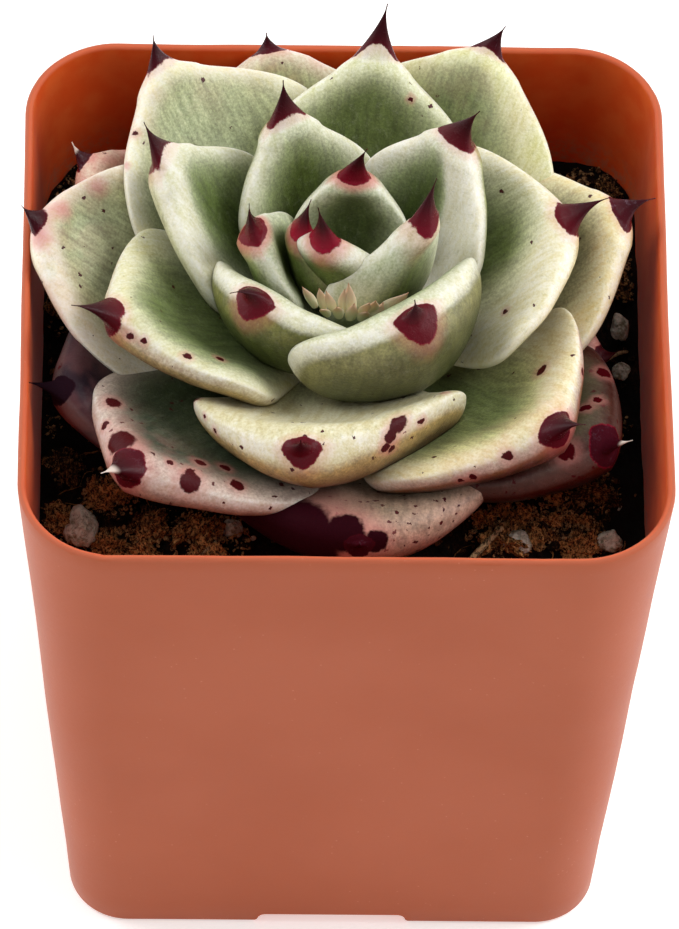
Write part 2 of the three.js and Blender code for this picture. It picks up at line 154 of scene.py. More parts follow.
def leaf(kind, *sizes, **changes):
    return {**kind, **dict(zip(SIZES, sizes)), **changes}


# The leaves' shapes, as in the part, from the heart outwards
LEAVES = [
    leaf(HEART, 250, 2.3, 65.8, 57, 8.8, 2.8, 4, start=0, sway=-1.3, hook=0, lean=-0.6),
    leaf(HEART, 215, 3, 64.8, 55, 7, 2.6, 3.4, start=1.2, sway=-2.1),
    leaf(HEART, 86, 4.8, 65.6, 54, 9.6, 3.4, 3.8, lean=-1),
    leaf(HEART, 182, 7.5, 65, 54, 9, 3.6, 3.4),
    leaf(HEART, 300, 3.4, 67.2, 53.6, 10, 2.8, 4, start=2.4, sway=4.8, blunt=0.9, hook=0, lean=1.2),
    leaf(INNER, 226, 9.9, 64.6, 53, 14.6, 5, 2.2, cup=0.32, roll=9, sway=-0.8, hook=-1.6, lean=-0.8),
    leaf(INNER, 299, 10.4, 65.7, 52.5, 17.6, 6.8, 1.8, cup=0.35, roll=3, shoulder=2.3, blunt=0.45),
    leaf(INNER, 116, 11.4, 65.8, 52.5, 12.8, 4.2, 4.2, roll=6, blunt=0.8),
    leaf(INNER, 35, 11.8, 66, 52, 13, 4.4, 4, cup=0.34, roll=12, sway=2, hook=0, lean=-1.2),
    leaf(INNER, 160, 16.2, 64.8, 52, 13.4, 4.6, 4.2, cup=0.36, sway=-1.6),
    leaf(MIDDLE, 199.1, 19.7, 62.1, 52.2, 19.5, 4.6, 4.4, bow=0.8, cup=0.24, roll=8, shoulder=2.1,
         blunt=0.71, hook=-0.4),
    leaf(MIDDLE, 13.9, 17.7, 62.7, 51.5, 21.2, 4.4, 3.6, bow=0.7, roll=-1, sway=-1.4, shoulder=2.35,
         blunt=0.64, hook=-1.2),
    leaf(MIDDLE, 268.5, 19.2, 61.6, 50.5, 21.7, 6.2, 1.8, roll=3.7, sway=-3.4, shoulder=1.7, blunt=0.59),
    leaf(MIDDLE, 83, 18.7, 63.6, 50.5, 18, 4.8, 4.8, cup=0.22, blunt=0.74, lean=-0.6),
    leaf(OUTER, 131.4, 23.5, 62.7, 50, 20.4, 4, 2.8, sway=-0.5, shoulder=2.3, blunt=0.82, lean=-0.4),
    leaf(OUTER, 227.3, 26, 59.2, 49.5, 21.3, 5.1, 3.8, cup=0.11, roll=2, sway=0.3, shoulder=2.1, blunt=0.71,
         hook=-0.3),
    leaf(OUTER, 315.2, 22.9, 60.6, 49.5, 22.4, 5.2, 3, cup=0.25, roll=4, shoulder=2, blunt=0.77, hook=-0.5,
         lean=0.8),
    leaf(OUTER, 57.7, 22.7, 62.9, 50, 20, 4.5, 2.8, roll=10, sway=0.9, shoulder=2.2, blunt=0.68, lean=-0.8),
    leaf(OUTER, 172.7, 25, 60.7, 49.5, 19.5, 3.8, 1.2, cup=0.25, roll=-11, sway=-0.4, shoulder=2.4,
         blunt=0.54, hook=0.1, awn=1.2),
    leaf(OUTER, 14, 22.7, 60.3, 49.5, 19.4, 4.8, 2.6, cup=0.17, roll=7.5, shoulder=2.05, blunt=0.72,
         hook=-1.4),
    leaf(OUTER, 106, 23.2, 59.8, 49.5, 20.5, 4.4, 1.4, cup=0.2, roll=-16),
    leaf(LOWEST, 151, 24.3, 58.2, 49, 16, 4.2, 2),
    leaf(LOWEST, 204, 25.2, 56.8, 49, 21, 4.2, 2.6, roll=-10, hook=-0.6, lean=-1.2),
    leaf(LOWEST, 325, 25.5, 56.6, 49, 18.9, 6.5, 2.4, cup=0.13, roll=-2.6, sway=-0.4, shoulder=2,
         blunt=0.63, hook=0.2, lean=0.5),
    leaf(LOWEST, 272, 23.4, 54.6, 49, 23.6, 6.6, 1.2, bow=1, cup=0.15, blunt=0.42),
    leaf(LOWEST, 72, 21, 54.5, 48.5, 16, 4, 2, bow=0.8),
    leaf(LOWEST, 350, 21, 53, 48.2, 14, 3.6, 1.6, bow=0.6),
]

# What a leaf's colours change, by its number. A spot or pink patch is its distance past the apex, across
# the midrib and above the blade's middle, and its radius.
LOOKS = {
    1: dict(under="#dcd8c2", patch=(1.6, 1.5), glow="#90122c"),
    2: dict(under="#8c8a68", patch=(1.6, 1.3), glow="#98122c"),
    3: dict(green="#56623a", patch=(0.9, 2), wide=0.7, glow="#780c20", halo=0.7),
    4: dict(under="#969c70", patch=(1, 1.9), wide=0.76, glow="#6c1020", halo=0.6),
    5: dict(cream="#ccd0b2", under="#8e946c", deep="#66703e", under_band=(0.6, 3.2), deep_band=(2.6, 5),
        lop=-1.1, lop_below=True, patch=(1, 2), wide=0.62, glow="#640c1c", halo=0.3),
    6: dict(under="#6e6e3a", deep="#4e5628", patch=(0.8, 2.2)),
    7: dict(under="#827e52", deep="#5c5c38", patch=(0.8, 2.8), wide=0.76),
    8: dict(green="#55622e", patch=(0.6, 2)),
    9: dict(green="#4c5a2c", cream="#eae6d2", lop=-5.4, patch=(0.9, 2.4), wide=0.76),
    10: dict(cream="#e2e0c6", under="#c4c29c", lop=2.2, patch=(0.5, 2.4), wide=0.6),
    11: dict(under="#b09a68", deep="#8a7048", under_band=(-1, 0.8), deep_band=(1, 3.8), lop=-1.6,
        patch=(0.9, 2.6), wide=0.62, spots=((-6.7, 6, 0.9, 0.36), (-3.5, 5.9, 0.7, 0.36),
        (-1.1, 3.3, 0, 0.26), (-0.5, 2.3, -0.4, 0.34))),
    12: dict(green="#7c8a54", sage="#dcdab6", cream="#e8e1c2", band=(0.5, 8), lop=-3.6, patch=(1.2, 2.2),
        wide=0.7, spots=((-7, -6.4, 0.9, 0.24),)),
    13: dict(green="#b0aa78", cream="#dcd4ae", under="#ae9460", deep="#4e3420", band=(2.2, 8),
        under_band=(-0.2, 1.4), deep_band=(1.4, 3.6), apex_band=(-1.6, 0.36), patch=(0.9, 1.9), hollow=0.15,
        freckles=0.6, spots=((-3.1, 6.8, 0.1, 0.72), (-2.8, 6.2, -0.6, 0.5), (-4.2, -8, -0.7, 0.24),
        (-5.2, -9.1, -0.2, 0.2), (-4.4, 8.3, -0.6, 0.26), (-2.7, 5.8, -1.3, 0.34), (-3.2, 6.2, -1.6, 0.3),
        (-7.9, -10.5, 0.3, 0.4)), patches=((-7.1, 9.5, 0.7, 0.5),)),
    14: dict(green="#5e6a38", cream="#dcdcb8", band=(0.3, 4), patch=(0.5, 1.6), wide=0.86,
        spots=((-2.8, -3.2, 1.1, 0.2),)),
    15: dict(green="#bcc49a", cream="#f2eed2", wide=0.56, freckles=0.12, blush=0.15,
        spots=((-3, 5.1, 0.3, 0.26),), patches=((-4.7, 7.4, 0, 0.4),)),
    16: dict(green="#444c3e", sage="#8e8274", cream="#c6b4a6", under="#a48e7c", deep="#562420",
        band=(0.6, 4.4), patch=(1.6, 2.4), wide=0.66, needle=True, freckles=1.2, spots=((-5, -6, 1, 0.64),
        (-1, -2.1, 0.9, 1.3), (-2.5, 4.3, 0.6, 0.9), (-3.1, 3.7, 0.9, 0.5), (-5, 3.2, 1.3, 0.5),
        (-6.8, 4.6, 1.1, 0.46), (-5.7, 6.7, 0.9, 0.58), (-2.1, 2.2, 1.3, 0.3), (-2.4, -4.6, 0.3, 0.34))),
    17: dict(green="#8a9660", sage="#c8c68c", cream="#e4d8ae", under="#8a5e3c", deep="#4a2a1a",
        band=(1.2, 7.5), under_band=(-0.4, 1), deep_band=(1, 3), lop=2.6, patch=(1, 2), wide=0.76,
        spots=((-6.3, 4.9, 1.2, 0.5), (-3.6, 6.6, -0.7, 0.34), (-1.8, -4, -0.1, 0.44),
        (-3.6, -6.7, -0.9, 0.36), (-4.3, -7.4, -0.9, 0.26))),
    18: dict(green="#727e52", cream="#e0deb0", lop=-2.2, freckles=0.1, blush=0.1),
    19: dict(green="#b4bc96", cream="#ece4cc", under="#b8ae8c", deep="#6a4c3c", lop=1.4, patch=(0.8, 1.2),
        wide=0.5, patches=((-0.2, 1.6, 0.4, 0.9), (-0.9, -1.5, 1.1, 0.9), (-3.4, -5.2, 1, 0.9))),
    20: dict(green="#9a9870", sage="#c0b88c", cream="#ecdeb0", lop=-1.5, patch=(0.9, 1.6), wide=0.8,
        bloom=0.4, blush=0),
    21: dict(green="#9a9c74", cream="#dcd0b8", patch=(0.9, 1.2), bloom=0.5, blush=0.3),
    22: dict(green="#b8a084", sage="#c4a894", cream="#d8bca4", patch=(0.5, 1.2), wide=0.6, bloom=0.4,
        needle=True, blush=0.6),
    23: dict(green="#1e1420", sage="#241620", cream="#2a1822", under="#2c1018", deep="#26080c",
        patch=(1.4, 2), glow="#201018", rim="#241018", tip="#160a10", halo=0, flecks=0.2, bloom=0,
        shine=0.16),
    24: dict(green="#504a32", sage="#584a3a", cream="#3c1612", under="#42100a", deep="#240404",
        under_band=(0.2, 1.2), deep_band=(1.6, 4), patch=(2, 2.6), wide=1, halo=0, flecks=0.4, needle=True,
        shine=0.2, freckles=2, blush=0, spots=((-4.9, 6.6, 0.8, 0.64), (-2.9, 1.7, 1.8, 0.5),
        (-2.8, 3.1, 1.5, 0.44), (-1.8, -2.8, 1.2, 0.8))),
    25: dict(green="#94806c", sage="#a08874", cream="#b0937f", under="#966c5c", deep="#4c1c1a",
        patch=(0.8, 1.6), rim="#4a1018", stain="#2c0a12", halo=0, shine=0.25, freckles=5,
        spots=((-4.5, -9.5, -0.6, 6), (-1.6, -4.2, -0.6, 3), (-0.6, -1, 0.6, 1.6), (0.2, 1.4, 0, 1.1))),
    26: dict(blush=0.4),
    27: dict(blush=0.4),
}

# Colours that the leaves share
PALE_EDGE_AND_HIGHLIGHT = "#f6f1e4"
# Painted shade in the leaves' hollows near their feet
PAINTED_HOLLOW_SHADE = "#35421a"
PALE_FLECK = "#e2e4cc"
DARK_FLECK = "#566030"
FRECKLE = "#46080f"
BLUSH = "#d98a86"
FLUSH = "#d0605f"
PINK_PATCH = "#cf6a72"
SPOT_RING = "#c98078"
THORN_DUST = "#8d7a8c"
NEEDLE = "#d9c8bc"
PINK_SHARE = 0.55  # how strongly the pink of a patch or ring covers the skin
NOISE_SHIFT = 0.35  # what the noise that bends the spots adds to a place on average

# What is known at every place on a leaf's skin
COORDINATES = ("across", "height", "face", "inset", "margin", "patch", "past", "share")


# Small helpers
def linear(code):
    """A hex colour as linear red, green, blue and alpha."""
    values = [int(code[i:i + 2], 16) / 255 for i in (1, 3, 5)]
    return [v / 12.92 if v <= 0.04045 else ((v + 0.055) / 1.055) ** 2.4 for v in values] + [1.0]


def smoothstep(x, low, high):
    t = np.clip((np.asarray(x, float) - low) / (high - low), 0, 1)
    return t * t * (3 - 2 * t)


def mix(a, b, t):
    return a + (b - a) * t


def blend(a, b, power):
    return (a ** power + b ** power) ** (1 / power)


def new_piece(name, data):
    """A new object in the scene."""
    piece = bpy.data.objects.new(name, data)
    bpy.context.scene.collection.objects.link(piece)
    return piece


def point_values(mesh, name, values):
    mesh.attributes.new(name, "FLOAT", "POINT").data.foreach_set("value", values)


def mesh_object(name, verts, faces, smooth=40.0):
    mesh = bpy.data.meshes.new(name)
    mesh.from_pydata([tuple(v) for v in verts], [], [tuple(f) for f in faces])
    mesh.validate()
    piece = new_piece(name, mesh)
    face_out(mesh)
    shade(mesh, smooth)
    return piece


def face_out(mesh):
    sculpt = bmesh.new()
    sculpt.from_mesh(mesh)
    bmesh.ops.recalc_face_normals(sculpt, faces=sculpt.faces)
    sculpt.to_mesh(mesh)
    sculpt.free()


def shade(mesh, smooth):
    mesh.shade_smooth()
    mesh.set_sharp_from_angle(angle=math.radians(smooth))


def tube_faces(rings, sides):
    """Quads between rings of points, and a fan over each end whose middle points come last."""
    ring, side = np.meshgrid(np.arange(rings - 1), np.arange(sides), indexing="ij")
    a = (ring * sides + side).ravel()
    b = (ring * sides + (side + 1) % sides).ravel()
    quads = np.stack([a, b, b + sides, a + sides], 1)
    first, last = rings * sides, rings * sides + 1
    top = (rings - 1) * sides
    fans = []
    for s in range(sides):
        n = (s + 1) % sides
        fans.append((first, n, s))
        fans.append((last, top + s, top + n))
    return [tuple(q) for q in quads] + fans


def loft(name, rings, smooth=40.0):
    """A closed skin through rings of points in millimetres."""
    rings = np.asarray(rings, float)
    count, sides = rings.shape[:2]
    verts = np.concatenate([rings.reshape(-1, 3), rings[:1].mean(1), rings[-1:].mean(1)])
    return mesh_object(name, verts * MM, tube_faces(count, sides), smooth)


def apply_boolean(piece, cutters, operation="DIFFERENCE"):
    for cutter in cutters:
        modifier = piece.modifiers.new("cut", "BOOLEAN")
        modifier.object = cutter
        modifier.operation = operation
        modifier.solver = "MANIFOLD"
    if cutters:
        graph = bpy.context.evaluated_depsgraph_get()
        cut = bpy.data.meshes.new_from_object(piece.evaluated_get(graph))
        piece.modifiers.clear()
        old, piece.data = piece.data, cut
        bpy.data.meshes.remove(old)


def keep_largest(mesh):
    """Deletes all but the largest connected body of a mesh."""
    sculpt = bmesh.new()
    sculpt.from_mesh(mesh)
    seen, bodies = set(), []
    for start in sculpt.verts:
        if start in seen:
            continue
        body, queue = [], [start]
        seen.add(start)
        while queue:
            vert = queue.pop()
            body.append(vert)
            for edge in vert.link_edges:
                other = edge.other_vert(vert)
                if other not in seen:
                    seen.add(other)
                    queue.append(other)
        bodies.append(body)
    bodies.sort(key=len)
    for body in bodies[:-1]:
        bmesh.ops.delete(sculpt, geom=body, context="VERTS")
    sculpt.to_mesh(mesh)
    sculpt.free()


def remove(piece):
    bpy.data.objects.remove(piece)


def finish_piece(piece, slot, material, *nodes):
    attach(piece, "root")
    if nodes:
        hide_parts(*nodes)
    piece.data.materials.clear()
    piece.data.materials.append(material)


# Materials
class Nodes:
    """A node tree whose nodes are added one call at a time."""

    def __init__(self, tree):
        self.tree = tree

    def node(self, kind, **properties):
        node = self.tree.nodes.new(kind)
        for name, value in properties.items():
            setattr(node, name, value)
        return node

    def put(self, socket, value):
        if isinstance(value, bpy.types.NodeSocket):
            self.tree.links.new(value, socket)
        elif value is not None:
            socket.default_value = value

    def filled(self, kind, inputs, **properties):
        """A new node with its inputs filled, by name or by number."""
        node = self.node(kind, **properties)
        for key, value in inputs.items():
            self.put(node.inputs[key], value)
        return node

    def maths(self, operation, a, b=None, c=None, clamp=False):
        inputs = {0: a, 1: b, 2: c}
        return self.filled("ShaderNodeMath", inputs, operation=operation, use_clamp=clamp).outputs[0]

    def times(self, a, b):
        return self.maths("MULTIPLY", a, b)

    def scaled(self, value, factor, plus):
        return self.maths("MULTIPLY_ADD", value, factor, plus)

    def vector(self, operation, a, b=None, **named):
        node = self.filled("ShaderNodeVectorMath", {0: a, 1: b, **named}, operation=operation)
        return node.outputs["Value" if operation in ("DISTANCE", "DOT_PRODUCT") else "Vector"]

    def combine(self, x, y, z):
        return self.filled("ShaderNodeCombineXYZ", {0: x, 1: y, 2: z}).outputs[0]

    def parts(self, value):
        """The three numbers of a vector or a colour."""
        return self.filled("ShaderNodeSeparateXYZ", {0: value}).outputs

    def step(self, value, low, high, start=0, end=1):
        """Start below low, end above high, and smooth between; low may be the larger."""
        limits = {"Value": value, "From Min": low, "From Max": high, "To Min": start, "To Max": end}
        return self.filled("ShaderNodeMapRange", limits, interpolation_type="SMOOTHSTEP").outputs[0]


class Shader(Nodes):
    """A material with one shader."""

    def __init__(self, name, **settings):
        self.material = bpy.data.materials.new(name)
        self.material.use_nodes = True
        super().__init__(self.material.node_tree)
        self.bsdf = self.tree.nodes["Principled BSDF"]
        self.settings(**settings)
        self.place = self.node("ShaderNodeTexCoord").outputs["Object"]
        self.millimetres = self.vector("SCALE", self.place, Scale=1 / MM)

    def settings(self, **settings):
        for name, value in settings.items():
            self.put(self.bsdf.inputs[name.replace("_", " ")], value)

    def attribute(self, name):
        return self.node("ShaderNodeAttribute", attribute_name=name).outputs["Fac"]

    def noise(self, per_mm, detail=3.0, roughness=0.55, place=None, colour=False):
        inputs = {"Scale": per_mm, "Detail": detail, "Roughness": roughness,
                  "Vector": place or self.millimetres}
        return self.filled("ShaderNodeTexNoise", inputs).outputs["Color" if colour else "Fac"]

    def centred(self, *noise):
        """Noise of about -0.5 to 0.5."""
        return self.maths("SUBTRACT", self.noise(*noise), 0.5)

    def cells(self, per_mm, place=None):
        node = self.filled("ShaderNodeTexVoronoi", {"Vector": place or self.millimetres, "Scale": per_mm})
        return node.outputs["Distance"], node.outputs["Color"]

    def blend(self, factor, a, b, kind="MIX"):
        a, b = (linear(value) if isinstance(value, str) else value for value in (a, b))
        node = self.filled("ShaderNodeMix", {0: factor, 6: a, 7: b}, data_type="RGBA", blend_type=kind)
        return node.outputs[2]

    def tint(self, base, factor, amount, colour):
        return self.blend(self.times(factor, amount), base, colour)

    def bump(self, height, strength, distance_mm):
        inputs = {"Strength": strength, "Distance": distance_mm * MM, "Height": height}
        self.settings(Normal=self.filled("ShaderNodeBump", inputs).outputs[0])

    def finish(self, colour, roughness):
        self.settings(Base_Color=colour, Roughness=roughness)
        return self.material


def leaf_material(name, leaf):
    shader = Shader(name, Subsurface_Weight=0.08, Subsurface_Scale=0.4 * MM,
                    Subsurface_Radius=(1.0, 0.75, 0.4))
    across, height, face, inset, margin, patch, past, share = map(shader.attribute, COORDINATES)
    broad, grain = shader.centred(0.35, 2.0), shader.centred(1.6, 5.0, 0.7)
    powder = shader.noise(7.0, 3.0, 0.7)
    stretched = shader.combine(shader.times(past, 0.3), shader.times(across, 1.6), height)
    streaks = shader.centred(1.0, 4.0, 0.65, stretched)
    mottle = shader.scaled(powder, 0.6, grain)
    wavy = shader.scaled(streaks, 2.2, shader.scaled(broad, 1.8, shader.scaled(grain, 0.8, inset)))
    skin = banded(shader, leaf, wavy, face)
    # Painted shade: a dark green wash towards the foot and away from the margins, where the leaves shade
    # each other's hollows
    hollow = shader.times(shader.step(share, 0.92, 0.35), shader.step(inset, 1.0, 5.5))
    skin = shader.tint(skin, hollow, leaf["hollow"], PAINTED_HOLLOW_SHADE)
    # A pale line along the margin: partly the margin's own paler skin, partly a painted highlight
    skin = shader.tint(skin, shader.step(margin, 0.4, 0.0), leaf["edge"], PALE_EDGE_AND_HIGHLIGHT)
    skin = flecked(shader, leaf["flecks"], skin, streaks, mottle)
    if leaf["blush"]:
        near = shader.times(shader.step(past, -9.0, -1.0), shader.step(broad, -0.15, 0.15))
        skin = shader.tint(skin, near, leaf["blush"], BLUSH)
    ragged = shader.scaled(broad, 0.5, shader.scaled(grain, 0.6, patch))
    skin = shader.tint(skin, shader.step(ragged, 1.5, 0.0), leaf["halo"], FLUSH)
    if leaf["freckles"]:
        skin = shader.blend(freckles(shader, broad, leaf["freckles"]), skin, FRECKLE)
    horn = shader.step(ragged, 0.09, -0.07)
    skin, stained = spotted(shader, leaf, skin, shader.combine(past, across, height), horn)
    skin = shader.blend(horn, skin, thorn_colour(shader, leaf, ragged, past, mottle))
    shine = shader.maths("MULTIPLY_ADD", stained, -0.24, leaf["shine"], clamp=True)
    shader.settings(Specular_IOR_Level=shine)
    shader.bump(shader.scaled(powder, 0.35, grain), 0.5, 0.16)
    return shader.finish(skin, shader.scaled(grain, 0.3, shader.scaled(horn, -0.14, 0.38)))


def banded(shader, leaf, wavy, face):
    """Cream margins that give way to green above in two steps, and to the outer face's colours below,
    darker farther from the margin: partly the leaf's own red or dark tint, partly painted shade.
    """
    near, far = leaf["band"]
    upper = shader.blend(shader.step(wavy, near - 0.3, near + 3.0), leaf["cream"], leaf["sage"])
    upper = shader.blend(shader.step(wavy, near + 0.8, far + 1.4), upper, leaf["green"])
    under = shader.blend(shader.step(wavy, *leaf["under_band"]), leaf["cream"], leaf["under"])
    # Farther from the margin the outer face darkens: partly its own red or dark tint, partly painted shade
    # on its lower part
    under = shader.blend(shader.step(wavy, *leaf["deep_band"]), under, leaf["deep"])
    return shader.blend(shader.step(face, -0.5, 0.5), under, upper)


def flecked(shader, amount, skin, streaks, mottle):
    """Fine grain and streaks, with pale and dark flecks."""
    fine = shader.step(shader.noise(4.5, 3.0, 0.6), 0.25, 0.75)
    skin = shader.blend(0.24 * amount, skin, fine, "OVERLAY")
    skin = shader.blend(0.3 * amount, skin, shader.step(streaks, -0.22, 0.22), "OVERLAY")
    skin = shader.tint(skin, shader.step(mottle, 0.3, 0.6), 0.1 * amount, PALE_FLECK)
    return shader.tint(skin, shader.step(mottle, 0.3, 0.05), 0.18 * amount, DARK_FLECK)


def spotted(shader, leaf, skin, place, horn):
    """Pink patches, then dark spots in pink rings; also how far the thorn or a spot covers each place."""
    bent = shader.vector("SCALE", shader.noise(1.8, 3.0, colour=True), Scale=0.7)
    place = shader.vector("ADD", place, bent)
    for patch in leaf["patches"]:
        skin = shader.tint(skin, blot(shader, place, *patch, soft=0.8), PINK_SHARE, PINK_PATCH)
    for *spot, radius in leaf["spots"]:
        ring = blot(shader, place, *spot, radius * 1.2 + 0.15, soft=0.8)
        skin = shader.tint(skin, ring, PINK_SHARE, SPOT_RING)
    stained = horn
    for spot in leaf["spots"]:
        core = blot(shader, place, *spot, soft=0.12)
        skin = shader.blend(core, skin, leaf["stain"])
        stained = shader.maths("MAXIMUM", stained, core)
    return skin, stained


def thorn_colour(shader, leaf, ragged, past, mottle):
    """Dark red, brighter where the thorn meets the skin."""
    long = leaf["thorn"]
    rim = shader.blend(shader.step(ragged, 0.05, -0.2), leaf["rim"], leaf["glow"])
    dark = shader.blend(shader.step(past, -0.4, long * 0.55), rim, leaf["tip"])
    dark = shader.tint(dark, shader.step(mottle, 0.35, 0.6), leaf["bloom"], THORN_DUST)
    if leaf["needle"]:
        dark = shader.blend(shader.step(past, long * 0.45, long * 0.65), dark, NEEDLE)
    return dark


def freckles(shader, broad, amount):
    """Small irregular specks, more of them with a larger amount."""
    bent = shader.vector("SCALE", shader.noise(2.5, colour=True), Scale=0.7)
    distance, tint = shader.cells(1.25, shader.vector("ADD", shader.millimetres, bent))
    first, second, _ = shader.parts(tint)
    chosen = shader.maths("LESS_THAN", first, shader.scaled(broad, 0.8, amount * 0.28))
    return shader.times(chosen, shader.maths("LESS_THAN", distance, shader.scaled(second, 0.2, 0.08)))


def blot(shader, place, past, across, height, radius, soft):
    """How far a place lies inside a round blot, from 0 to 1."""
    middle = (past + NOISE_SHIFT, across + NOISE_SHIFT, height + NOISE_SHIFT)
    distance = shader.vector("DISTANCE", place, middle)
    return shader.step(distance, radius * (1 + soft), radius * (1 - soft))


def pot_material():
    shader = Shader("pot_plastic", Specular_IOR_Level=0.12, Subsurface_Weight=0.05, Subsurface_Scale=MM,
                    Subsurface_Radius=(3.0, 0.9, 0.5), Sheen_Weight=0.12, Sheen_Roughness=0.3)
    cloud, grain = shader.noise(0.05, 3.0), shader.noise(3.0, 4.0, 0.7)
    outside = shader.blend(shader.step(cloud, 0.35, 0.65), "#a5502e", "#aa5534")
    # Painted light: the inner face gets a brighter, redder orange than the outside, standing in for light
    # shining through the thin wall and bouncing inside the pot
    inside = shader.blend(shader.step(shader.noise(0.4, 4.0), 0.35, 0.65), "#d8521c", "#dc6028")
    outward = shader.vector("NORMALIZE", shader.vector("MULTIPLY", shader.place, (1.0, 1.0, 0.0)))
    normal = shader.node("ShaderNodeNewGeometry").outputs["Normal"]
    inner = shader.step(shader.vector("DOT_PRODUCT", normal, outward), 0.3, -0.3)
    base = shader.blend(inner, outside, inside)
    height = shader.parts(shader.millimetres)[2]
    low = shader.step(height, DUST_TOP, SOIL_LEVEL)
    dust = shader.times(shader.times(low, inner), shader.step(shader.noise(1.2, 6.0, 0.75), 0.42, 0.62))
    base = shader.tint(base, dust, 0.6, "#a8765a")
    # Painted highlight: a lighter orange along the rim's top edge, where it catches the light
    lip = shader.step(height, POT_HEIGHT - 0.5, POT_HEIGHT - 0.15)
    base = shader.tint(base, lip, 0.6, "#c06a50")
    distance, _ = shader.cells(0.9)
    speck = shader.times(shader.step(distance, 0.1, 0.03), shader.step(cloud, 0.4, 0.6))
    base = shader.tint(base, speck, 0.25, "#e3a68f")
    shader.bump(shader.scaled(cloud, 6.0, grain), 0.12, 0.06)
    return shader.finish(base, shader.scaled(grain, 0.12, 0.38))


def soil_material(name, dark, light):
    """Peat in a dark tone, with fibres and grains in the light one, more of them where tone is high."""
    shader = Shader(name, Specular_IOR_Level=0.2)
    tone = shader.attribute("tone")
    grain = shader.noise(2.6, 5.0, 0.8)
    fibres = shader.noise(5.0, 4.0, 0.75, shader.vector("MULTIPLY", shader.millimetres, (1.0, 0.35, 1.6)))
    rough = shader.scaled(fibres, 1.6, shader.scaled(grain, 1.2, tone))
    base = shader.blend(shader.step(rough, 1.7, 2.35), dark, light)
    base = shader.tint(base, shader.step(fibres, 0.52, 0.43), 0.85, "#0c0603")
    base = shader.blend(shader.step(tone, 1.4, 1.5), base, "#d9d2c0")
    shader.bump(shader.maths("ADD", fibres, grain), 0.9, 0.35)
    return shader.finish(base, 0.95)


def perlite_material():
    shader = Shader("perlite", Specular_IOR_Level=0.3, Subsurface_Weight=0.1, Subsurface_Scale=MM)
    grain = shader.noise(1.1, 5.0, 0.7)
    distance, _ = shader.cells(3.5)
    base = shader.blend(shader.step(grain, 0.35, 0.6), "#6f6a52", "#d8d4c4")
    base = shader.blend(shader.step(distance, 0.2, 0.05), base, "#4a4030")
    shader.bump(shader.maths("ADD", grain, distance), 0.8, 0.2)
    return shader.finish(base, 0.85)


def stem_material():
    shader = Shader("stem_bark", Specular_IOR_Level=0.3)
    grain = shader.noise(1.5, 5.0, 0.7)
    shader.bump(grain, 0.7, 0.3)
    return shader.finish(shader.blend(grain, "#3f3222", "#8a7656"), 0.85)


def bract_material():
    shader = Shader("bracts", Subsurface_Weight=0.2, Subsurface_Scale=MM, Specular_IOR_Level=0.35,
                    Subsurface_Radius=(0.8, 0.5, 0.35))
    reach, grain = shader.attribute("share"), shader.noise(3.0, 3.0)
    base = shader.blend(shader.step(reach, 0.2, 0.85), "#fbf4d2", "#f6c2ac")
    base = shader.blend(shader.step(reach, 0.86, 1.0), base, "#b06a58")
    shader.bump(grain, 0.3, 0.1)
    return shader.finish(shader.tint(base, grain, 0.3, "#dcd4a4"), 0.55)


# Pot
def rounded_square(half, corner, z, corner_steps=CORNER_STEPS, side_steps=SIDE_STEPS):
    points = []
    for quarter in range(4):
        turn = math.radians(90 * quarter)
        cos, sin = math.cos(turn), math.sin(turn)
        centre = ((half - corner) * (cos - sin), (half - corner) * (sin + cos))
        for step in range(corner_steps + 1):
            angle = turn + math.pi / 2 * step / corner_steps
            points.append((centre[0] + corner * math.cos(angle), centre[1] + corner * math.sin(angle), z))
        length = 2 * (half - corner)
        start = points[-1]
        for step in range(1, side_steps):
            run = length * step / side_steps
            points.append((start[0] - cos * run, start[1] - sin * run, z))
    return np.array(points)


def wall_ring(inset, z, **steps):
    share = z / POT_HEIGHT
    half = mix(FOOT_HALF, RIM_HALF, share) - inset
    corner = mix(FOOT_CORNER, RIM_CORNER, share) - inset
    return rounded_square(half, corner, z, **steps)


def wall_thickness(z):
    return mix(WALL, RIM_THICKNESS, z / POT_HEIGHT)


def pot_rings():
    rings = [wall_ring(FOOT_BAND, FOOT_RISE), wall_ring(FOOT_BAND, 0.15), wall_ring(FOOT_BAND - 0.15, 0)]
    for step in range(5):
        angle = math.pi / 2 * step / 4
        rings.append(wall_ring(0.5 * (1 - math.sin(angle)), 0.5 * (1 - math.cos(angle))))
    for z in np.linspace(3, POT_HEIGHT - 2, 26):
        rings.append(wall_ring(0, z))
    half = RIM_THICKNESS / 2
    for step in range(9):
        angle = math.pi * step / 8
        rings.append(wall_ring(half - half * math.cos(angle), POT_HEIGHT - half + half * math.sin(angle)))
    floor_top = FOOT_RISE + FLOOR
    for z in np.linspace(POT_HEIGHT - 2, floor_top + 0.6, 24):
        rings.append(wall_ring(wall_thickness(z), z))
    rings.append(wall_ring(wall_thickness(floor_top) + 0.6, floor_top))
    return np.array(rings)


def uneven(rings):
    """The wall's slight waves, and a lip that isn't quite level."""
    for ring in rings:
        for point in ring:
            wave = noise.noise(Vector(point) * 0.09) * 0.10 + noise.noise(Vector(point) * 0.35) * 0.015
            lip = smoothstep(point[2], POT_HEIGHT - 3, POT_HEIGHT)
            level = noise.noise(Vector((point[0], point[1], 3.0)) * 0.22) * 0.09
            nick = min(0.0, noise.noise(Vector((point[0], point[1], 9.0)) * 0.8) + 0.35) * 0.35
            flat = Vector((point[0], point[1])).normalized()
            rise = smoothstep(point[2], 2, 8)
            point[0] += flat.x * (wave * rise - 0.06)
            point[1] += flat.y * (wave * rise - 0.06)
            point[2] += (level - 0.08 + nick) * lip
    return rings


